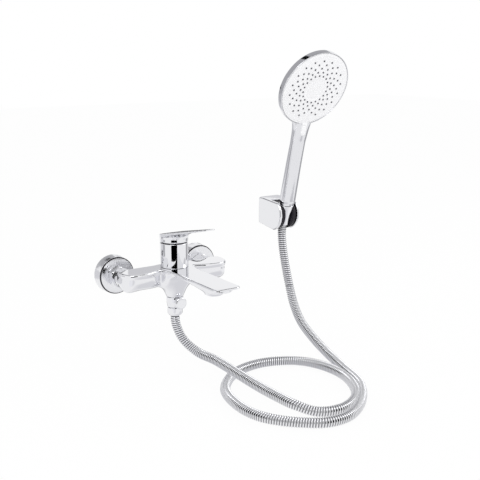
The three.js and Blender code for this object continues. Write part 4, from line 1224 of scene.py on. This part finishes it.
@dataclass
class WallHolder:
    """Chrome shell on the wall and the black fork that tilts between its cheeks."""

    across: float = 228.0
    half_width: float = 20.0
    cheek: float = 4.0
    pivot_y: float = -37.0
    pivot_z: float = 71.0
    nose: float = 28.0
    top_setback: float = 7.0
    drum: float = 27.0
    heel: float = 20.0
    drum_half: float = 14.4
    sweep_leans: tuple[float, float] = (-3.0, 38.0)
    plate_half: float = 14.5
    lobe_top: float = 20.0
    slot_half: float = 7.7
    seat_ahead: float = 12.4
    seat_rise: float = 21.4
    cone_top: float = CONE_TOP
    cone_bottom: float = CONE_BOTTOM
    cone_height: float = CONE_HEIGHT
    trunnion: float = 5.0

    def side(self) -> Array:
        """Side view of the shell: the wall, a sloping top, the round nose and the underside.

        Returns:
            The outline's points as y and z, one row each.
        """
        y, z = self.pivot_y, self.pivot_z
        nose = arc(y, z, self.nose, 129.6, 255.6, 30)
        back = [(-0.3, z - 18), (-0.3, z + 22), (-3.5, z + 25), (-13, z + 25)]
        return np.vstack([back, nose, [(-1.3, z - 21)]])

    def shell(self, points: Array) -> Array:
        """Distance field of the shell.

        The side view is carried across the width with rounded edges. The room between the
        cheeks is the sweep of the fork, the open nose and a space for the wall plate.

        Args:
            points: Points in millimetres, any leading shape.

        Returns:
            The field, below zero in the metal.
        """
        across, y, z = np.abs(points[..., 0] - self.across), points[..., 1], points[..., 2]
        side = outline_distance(y, z, self.outline)
        solid = smooth_max(side, across - self.half_width, 2.6)
        dy, dz = y - self.pivot_y, z - self.pivot_z
        rho, inside = np.hypot(dy, dz), self.half_width - self.cheek
        lower, upper = (dy * math.cos(lean) + dz * math.sin(lean)
                        for lean in map(math.radians, self.sweep_leans))
        wide = np.maximum(rho - self.drum - 0.5, np.minimum(lower, upper))
        sweep = np.minimum(rho - self.heel - 0.5, wide)
        nose = np.minimum(np.maximum(dy, dz), np.maximum(dy - self.top_setback, -dz))
        room = np.maximum(np.minimum(sweep, nose), across - inside)
        plate = np.maximum(z - self.pivot_z - 19, self.pivot_z - 16 - z)
        plate = np.maximum(np.maximum(across - self.plate_half, -5 - y), plate)
        bearing = np.maximum(rho - self.trunnion - 0.3, across - inside - 2.5)
        return np.maximum(solid, -np.minimum(np.minimum(room, plate), bearing))

    def fork(self, points: Array) -> Array:
        """Distance field of the fork in its own tilted place.

        A wide round front below the lobes' tops joins a smaller heel. The cone seat and the
        slot for the hose are taken away, and trunnions stand out of both sides.

        Args:
            points: Points in millimetres from the pivot, any leading shape.

        Returns:
            The field, below zero in the plastic.
        """
        x, y, z = points[..., 0], points[..., 1], points[..., 2]
        rho = np.hypot(y, z)
        front = smooth_max(smooth_max(rho - self.drum, z - self.lobe_top, 3.0), y, 1.0)
        round_body = smooth_min(front, rho - self.heel, 2.0)
        round_body = smooth_max(round_body, np.abs(x) - self.drum_half, 2.4)
        axle = np.maximum(rho - self.trunnion, np.abs(x) - (self.half_width - self.cheek) - 2)
        solid = np.minimum(round_body, axle)
        taper = (self.cone_top - self.cone_bottom) / self.cone_height
        ring = np.hypot(x, y + self.seat_ahead)
        seat_radius = np.maximum(self.cone_top + 0.3 + (z - self.seat_rise) * taper, self.slot_half)
        seat = ring - seat_radius
        slot = np.maximum(np.abs(x) - self.slot_half, y + self.seat_ahead)
        return smooth_max(solid, -np.minimum(seat, slot), 1.4)

    def build(self) -> None:
        """Makes both pieces and mounts them."""
        self.outline = self.side()
        shell = fitted_surface(self.shell, (206, -67, 41), (250, 2, 101), 0.9)
        mount(shell.piece("holder_cover", sharp=FITTED_SHARP), "fixed", CHROME, "holder_shell")
        fork = fitted_surface(self.fork, (-19.5, -29, -29), (19.5, 22, 23), 0.8).moved(TILT)
        mount(fork.piece("holder_fork", sharp=FITTED_SHARP), "fork", BLACK, "holder_drum")


# ------------------------------------------------------------------ hand shower
@dataclass
class HandShower:
    """Cone nut, creased handle, round head, white spray face with its nozzles, and button."""

    cone_top: float = CONE_TOP
    cone_bottom: float = CONE_BOTTOM
    cone_height: float = CONE_HEIGHT
    thread_radius: float = 9.9
    foot_bore: float = 8.2
    hose_bore: float = 7.9
    face_radius: float = 61.7
    rim: float = 1.8
    head_depth: float = 13.5
    head_foot: float = 145.3
    face_thickness: float = 3.0
    rings: tuple[float, ...] = (0.79, 0.69, 0.585, 0.48, 0.38)
    arms: int = 18
    nozzle_radius: float = 1.55
    nozzle_height: float = 0.9
    crease: float = 0.9
    crease_depth: float = 0.16
    side_depth: float = 0.42
    button_half: float = 5.25
    button_top: float = 144.6
    button_length: float = 18.4
    button_front: float = -11.4
    button_back: float = -5.2
    arch_power: float = 2.4
    back_power: float = 2.6
    blur_rows: int = 7
    window_rows: int = 23

    def cone_nut(self) -> Shape:
        """Conical hose nut with a fine edge at its top, turned about the handle's line.

        Returns:
            The nut, in place.
        """
        thread, height = self.thread_radius + 0.3, self.cone_height
        return turned([
            (thread, 0), (self.cone_top, 0), (self.cone_top, -1.2), (self.cone_bottom, -height),
            (self.foot_bore, -height), (self.hose_bore, -height + 8), (self.hose_bore, -17),
            (thread, -17),
        ], edge=0.5).moved(SHOWER)

    def handle(self) -> Shape:
        """Handle whose section changes along its length.

        The front of each section is a flat arch: its depth grows with a power of the distance
        from the middle. Two creases lead to short straight sides, and the back is half of an
        ellipse made fuller by its exponent. The half width and the front and back depths come
        from the stations, smoothed along the length, and the creases are rounded by a running
        mean round the section.

        Returns:
            The handle, in place.
        """
        foot = self.head_foot
        z = np.array([0.3, 4.5, 8.5, 0.22 * foot, 0.52 * foot, 0.78 * foot, foot - 9, foot + 1,
                      foot + 5, foot + 27, foot + 45])
        half = np.array([12.2, 12.2, 13.6, 13.7, 13.7, 13.8, 15.2, 17.4, 19, 23, 24])
        front = np.array([10.2, 10.2, 11.2, 10, 8.2, 7.4, 9.4, 9.4, 7.5, 2, 3])
        back = np.array([9.6, 9.8, 10.6, 10.6, 9.8, 8.6, 9.2, 9.6, 9.6, 8, 5])
        neck = z[2] - 0.5
        level = np.concatenate([np.linspace(z[0], neck, 24, endpoint=False),
                                np.linspace(neck, z[-1], 180)])
        window = np.hanning(self.window_rows)

        def along(values: Array) -> Array:
            """The stations' values at every level, smoothed above the neck."""
            reach = np.clip(level - z[2], 0, 7)[:, None] * np.linspace(-1, 1, window.size)
            return (np.interp(level[:, None] + reach, z, values) @ window)[:, None] / window.sum()

        w, f, b = along(half), -along(front), along(back)
        crease, deep, side = self.crease, self.crease_depth, self.side_depth
        arch = np.linspace(-1, 1, 29)[None]
        step = np.linspace(0, 1, 8)[1:][None]
        turn = np.linspace(0, np.pi, 44)[1:][None]
        fuller = 2 / self.back_power
        side_x, side_y = crease + (1 - crease) * step, deep + (side - deep) * step
        round_x = np.sign(np.cos(turn)) * np.abs(np.cos(turn)) ** fuller
        round_y = side + (1 - side) * np.sin(turn) ** fuller
        arch_y = deep * np.abs(arch) ** self.arch_power
        x = np.concatenate([arch * crease, side_x, round_x, -side_x[:, ::-1][:, 1:]], axis=1)
        y = np.concatenate([arch_y, side_y, round_y, side_y[:, ::-1][:, 1:]], axis=1)
        count, rows = self.blur_rows, x.shape[1]
        blur = np.hanning(count) / np.hanning(count).sum()
        x, y = (sum(np.roll(v, k - count // 2, axis=1) * blur[k] for k in range(count))
                for v in (x, y))
        height = np.broadcast_to(level[:, None], (level.size, rows))
        points = np.stack([x * w, f + y * (b - f), height], -1)
        start, end = (np.broadcast_to([[0, 0, level[k]]], (1, rows, 3)) for k in (0, -1))
        lip = points[:1] * (0.95, 0.95, 1)
        points = np.concatenate([start, lip, points[:1] + (0, 0, 0.5), points[2:], end])
        return Shape.grid(points).moved(SHOWER)

    def head(self) -> Shape:
        """Shallow round shell of the head with a plain rim, turned about the spray's line.

        Returns:
            The head's shell, in place.
        """
        outer, depth, inner = self.face_radius + self.rim, self.head_depth, self.face_radius + 0.3
        floor = -self.face_thickness - 2.5
        return turned([
            (0, floor), (inner, floor), (inner, -0.1), (outer, -0.1), (outer - 0.2, -depth + 3.5),
            (outer - 3.5, -depth), (0.76 * outer, -depth - 5), (0.47 * outer, -depth - 8),
            (12, -depth - 9), (0, -depth - 9),
        ], edge=1.2, segments=180).moved(HEAD)

    def face(self) -> Shape:
        """White plate with a soft edge, a fine step round it and a faint dish in the middle.

        Returns:
            The plate, in place.
        """
        radius = self.face_radius
        return turned([
            (0, -0.35), (0.29 * radius, -0.35), (0.31 * radius, 0), (radius - 3.2, 0),
            (radius - 2.6, -0.25), (radius - 0.2, -0.25), (radius, -self.face_thickness),
            (0, -self.face_thickness),
        ], edge=0.5, segments=180).moved(HEAD)

    def tab(self, points: Array) -> Array:
        """Distance field of the small white tab that joins the plate to the button's place.

        Args:
            points: Points in the handle's own place, any leading shape.

        Returns:
            The field, below zero inside the tab.
        """
        x, y, z = points[..., 0], points[..., 1], points[..., 2]
        middle = self.head_foot + 1.4
        block = smooth_max(np.abs(x) - self.button_half + 0.2, np.abs(z - middle) - 2.2, 0.8)
        return smooth_max(block, np.abs(y + 9.2 + 0.19 * (middle - z)) - 1.1, 0.8)

    def nozzles(self) -> Shape:
        """Soft spray nozzles on five rings, each ring turned half a gap from the last.

        Every nozzle is a small turned nub. Its centre is at the ring's radius and an angle of
        its number times twenty degrees, plus ten on every other ring. The outer ring leaves
        out the one over the button.

        Returns:
            All nozzles as one surface, in place.
        """
        low, high, radius = -1.2, self.nozzle_height, self.nozzle_radius
        nub = turned([(0, low), (radius, low), (radius, high * 0.2), (radius * 0.6, high),
                      (0, high)], edge=0.0, segments=12)
        made = []
        for number, share in enumerate(self.rings):
            for arm in range(self.arms):
                degrees = arm * 20 + (10 if number % 2 == 0 else 0)
                if number == 0 and degrees == 270:
                    continue
                angle, reach = math.radians(degrees), share * self.face_radius
                centre = (reach * math.cos(angle), reach * math.sin(angle), 0)
                made.append(nub.moved(Place(shift=centre)))
        return made[0].joined(*made[1:]).moved(HEAD)

    def button_body(self, points: Array) -> Array:
        """Distance field of the button: a round-ended tongue with soft edges and a bowed face.

        Args:
            points: Points in the handle's own place, any leading shape.

        Returns:
            The field, below zero inside the button.
        """
        x, y, z = points[..., 0], points[..., 1], points[..., 2]
        low = self.button_top - self.button_length + self.button_half
        tongue = np.where(z < low, np.hypot(x, z - low), np.abs(x)) - self.button_half
        tongue = smooth_max(tongue, z - self.button_top, 0.8)
        bow = self.button_front + 0.03 * x ** 2 + 0.5 * ((z - self.button_top + 8) / 11) ** 2
        return smooth_max(smooth_max(tongue, bow - y, 2.2), y - self.button_back, 0.8)

    def build(self) -> None:
        """Makes the pieces and mounts them."""
        mount(self.cone_nut().piece("cone_nut"), "hand_shower", CHROME, "hose_cone_nut")
        shell = self.handle().joined(self.head()).piece("shower_housing", sharp=24)
        mount(shell, "hand_shower", CHROMED_PLASTIC, "shower_shell")
        tab = fitted_surface(self.tab, (-6.5, -12, 143), (6.5, -7, 150.5), 0.5).moved(SHOWER)
        plate = self.face().joined(tab).piece("spray_plate")
        mount(plate, "hand_shower", WHITE, "shower_face")
        mount(self.nozzles().piece("spray_nozzles"), "hand_shower", NOZZLE)
        button = fitted_surface(self.button_body, (-6.5, -13, 125), (6.5, -4, 146), 0.45)
        mount(button.moved(SHOWER).piece("spray_selector"), "button", WHITE, "spray_button")


# ------------------------------------------------------------------ inner pieces
@dataclass
class InnerPieces:
    """CAD nodes that keep their own shape and take a finish by their slot."""

    record: dict

    def dress(self) -> None:
        """Gives each CAD node the finish of its material slot."""
        slots = {part["node"]: part["material_slot"] for part in self.record["subparts"]}
        for name, node in frame["nodes"].items():
            FINISHES[Slot(slots[name])].on(node)


# ------------------------------------------------------------------ studio
# Height of the hump that fades a soft card, and how much bluer than grey a card glows.
FADE_RISE = 24.0
CARD_BLUE = 1.03


@dataclass(frozen=True)
class Card:
    """A flat studio card that shows only as a reflection in polished metal."""

    name: str
    centre: tuple[float, float, float]
    size: tuple[float, float]
    aim: tuple[float, float, float]
    tone: float
    soft: bool = False

    def fade(self, mesh: bpy.types.Mesh, tree: bpy.types.NodeTree,
             light: bpy.types.Node) -> bpy.types.Node:
        """Lets the glow fade out towards the card's edges.

        Over the card's own 0 to 1 coordinates u and v the glow's share is the lesser of 1 and
        24 u (1 - u) v (1 - v), so it is full in the middle and nothing at the edges.

        Args:
            mesh: The card's mesh, which gets the coordinates.
            tree: The node tree of its glow.
            light: The emission node.

        Returns:
            The node whose shader goes to the output.
        """
        square = mesh.uv_layers.new(name="card")
        square.data.foreach_set("uv", [0, 0, 1, 0, 1, 1, 0, 1])
        place = tree.nodes.new("ShaderNodeUVMap")
        place.uv_map = "card"
        split = add_node(tree, "SeparateXYZ", {"Vector": place.outputs["UV"]})
        humps = [add_math(tree, "MULTIPLY", split.outputs[axis],
                          add_math(tree, "SUBTRACT", 1.0, split.outputs[axis])) for axis in "XY"]
        share = add_math(tree, "MULTIPLY", *humps)
        return add_node(tree, "MixShader", {
            "Fac": add_math(tree, "MULTIPLY", share, FADE_RISE, clamp=True),
            1: add_node(tree, "BsdfTransparent", {}).outputs["BSDF"],
            2: light.outputs["Emission"]})

    def build(self) -> None:
        """Makes the card, turned towards its aim, with a plain glow of its tone."""
        corners = np.array([(-1, -1, 0), (1, -1, 0), (1, 1, 0), (-1, 1, 0)]) * (*self.size, 0) / 2
        normal = Vector(self.aim) - Vector(self.centre)
        turn = np.array(normal.to_track_quat("Z", "Y").to_matrix())
        mesh = bpy.data.meshes.new(self.name)
        mesh.from_pydata((corners @ turn.T + np.array(self.centre)).tolist(), [], [(0, 1, 2, 3)])
        card = placed(self.name, mesh)
        glow = emptied(self.name)
        tree = glow.node_tree
        light = add_node(tree, "Emission", {
            "Color": (self.tone, self.tone, self.tone * CARD_BLUE, 1)})
        shown = self.fade(mesh, tree, light) if self.soft else light
        add_node(tree, "OutputMaterial", {"Surface": shown.outputs[0]})
        mesh.materials.append(glow)
        card.visible_camera = card.visible_diffuse = False
        card.visible_shadow = card.visible_transmission = False


@dataclass(frozen=True)
class Lamp:
    """A square soft lamp."""

    name: str
    centre: tuple[float, float, float]
    size: float
    power: float
    aim: tuple[float, float, float] = (0.1, -0.1, 0.05)

    def build(self) -> None:
        """Makes the lamp, turned towards its aim."""
        data = bpy.data.lights.new(self.name, "AREA")
        data.size = self.size
        data.energy = self.power
        turn = (Vector(self.aim) - Vector(self.centre)).to_track_quat("-Z", "Y")
        placed(self.name, data).matrix_world = (
            Matrix.Translation(self.centre) @ turn.to_matrix().to_4x4())


@dataclass
class Studio:
    """Camera, floor, world, lamps and reflection cards."""

    camera_place: tuple[float, float, float] = (-0.63552, -1.20701, 0.3478)
    right: tuple[float, float, float] = (0.83195, -0.55484, 0.0)
    up: tuple[float, float, float] = (0.12122, 0.18177, 0.97584)
    back: tuple[float, float, float] = (-0.54144, -0.81185, 0.21848)
    lens: float = 64.275
    sensor: float = 36.0
    floor_level: float = -0.1504
    floor_reach: float = 6.0
    floor_colour: tuple[float, float, float] = (0.93, 0.93, 0.93)
    floor_glow: float = 0.95
    fill: float = 0.82
    lamps: tuple[Lamp, ...] = (
        Lamp("key", (-1.1, -1.3, 1.5), 1.0, 11), Lamp("side", (1.5, -0.7, 0.9), 0.8, 4),
    )
    cards: tuple[Card, ...] = (
        Card("front_flag", (-0.27, -0.61, 0.12), (0.54, 0.55), (0.09, -0.129, 0.12), 0.0),
        Card("loop_flag", (-0.21, -0.85, 0.3), (0.17, 0.3), (0.12, -0.36, -0.14), 0.0),
        Card("front_floor_grey", (-0.22, -0.4, -0.149), (0.26, 0.34), (-0.22, -0.4, 0.2), 0.8,
             soft=True),
        Card("low_grey", (0.12, -0.16, -0.149), (0.44, 0.3), (0.12, -0.16, 0.2), 0.78, soft=True),
        Card("back_floor_grey", (0.19, 0.15, -0.149), (0.5, 0.32), (0.19, 0.15, 0.2), 0.42,
             soft=True),
        Card("near_white", (-0.2, -0.2, -0.078), (0.12, 0.08), (-0.09, -0.04, -0.078), 0.95),
        Card("edge_dark", (-0.08, 0.355, 0.3), (0.13, 0.07), (-0.08, -0.1, 0.3), 0.0),
        Card("ceiling_square", (0.168, -0.05, 0.6), (0.066, 0.2), (0.168, -0.05, 0), 0.0),
        Card("ceiling_grey", (0.06, 0.12, 0.64), (1.2, 0.6), (0.06, 0.12, 0), 0.46),
        Card("ceiling_right", (0.36, -0.27, 0.62), (0.34, 0.3), (0.36, -0.27, 0), 0.0),
        Card("ceiling_back", (-0.28, 0.75, 0.62), (0.5, 0.5), (0, 0, 0), 0.0),
        Card("rim_grey", (-0.2, 0.36, 0.48), (0.6, 0.58), (-0.2, -0.1, 0.48), 0.46),
        Card("rim_low_grey", (-0.1, 0.36, 0.125), (0.4, 0.13), (-0.1, -0.1, 0.125), 0.54),
        Card("rosette_grey", (-0.36, 0.36, -0.05), (0.34, 0.2), (-0.36, -0.1, -0.05), 0.76),
        Card("deck_grey", (0.17, 0.30, 0.11), (0.14, 0.12), (0.17, -0.069, 0.11), 0.66),
        Card("holder_top_grey", (0.5, 0.32, 0.16), (0.14, 0.14), (0.228, -0.037, 0.08), 0.72),
        Card("behind_dark", (0.25, 0.31, -0.06), (0.16, 0.17), (0, -0.069, -0.06), 0.18),
        Card("far_left_grey", (-0.68, 0.30, -0.03), (0.34, 0.24), (0, -0.1, 0.1), 0.5),
        Card("right_floor_grey", (0.53, -0.34, -0.149), (0.2, 0.2), (0.53, -0.34, 0.2), 0.68),
        Card("right_grey", (0.62, -0.02, 0.03), (0.35, 0.36), (0.228, -0.1, 0.1), 0.46),
    )

    def camera(self) -> None:
        """Places the camera by its three directions and makes it the scene's."""
        data = bpy.data.cameras.new("camera")
        data.lens = self.lens
        data.sensor_width = self.sensor
        made = placed("camera", data)
        rows = list(zip(self.right, self.up, self.back, self.camera_place))
        made.matrix_world = Matrix(rows + [(0, 0, 0, 1)])
        bpy.context.scene.camera = made
        bpy.context.scene.view_settings.view_transform = "Standard"

    def floor(self) -> None:
        """Pale floor: camera and mirror rays see it nearly white, and it keeps a soft shadow."""
        reach, z = self.floor_reach, self.floor_level
        mesh = bpy.data.meshes.new("floor")
        mesh.from_pydata([(-reach, -reach, z), (reach, -reach, z), (reach, reach, z),
                          (-reach, reach, z)], [], [(0, 1, 2, 3)])
        made = placed("floor", mesh)
        paint = emptied("pale_floor")
        tree = paint.node_tree
        matte = add_node(tree, "BsdfDiffuse", {"Color": (*self.floor_colour, 1)})
        mix = add_node(tree, "MixShader", {
            "Fac": add_math(tree, "MULTIPLY", seen_or_mirrored(tree), self.floor_glow),
            1: matte.outputs["BSDF"], 2: add_node(tree, "Emission", {}).outputs["Emission"]})
        add_node(tree, "OutputMaterial", {"Surface": mix.outputs["Shader"]})
        mesh.materials.append(paint)

    def world(self) -> None:
        """White for camera and mirror rays, and a softer even light for the rest."""
        world = bpy.data.worlds.new("studio")
        bpy.context.scene.world = world
        world.use_nodes = True
        tree = world.node_tree
        ground = next(n for n in tree.nodes if n.type == "BACKGROUND")
        level = add_node(tree, "MapRange", {
            "Value": seen_or_mirrored(tree), "To Min": self.fill, "To Max": 1.0})
        feed(ground, {"Color": (1, 1, 1, 1), "Strength": level.outputs["Result"]})

    def build(self) -> None:
        """Makes the floor, world, lamps and cards."""
        self.floor()
        self.world()
        for item in self.lamps + self.cards:
            item.build()


def main() -> None:
    """Builds the sub-assemblies in order."""
    logging.basicConfig(level=logging.INFO, format="%(name)s: %(message)s")
    studio = Studio()
    studio.camera()
    CorrugatedHose().build()
    InnerPieces(frame["record"]).dress()
    for side, across in (("left", -WALL_INLET), ("right", WALL_INLET)):
        WallConnection(side, across).build()
    for assembly in (MixerBody(), DomeAndLever(), ShowerOutlet(), WallHolder(), HandShower()):
        assembly.build()
        LOG.info("%s is built", type(assembly).__name__)
    studio.build()


if __name__ == "__main__":
    main()
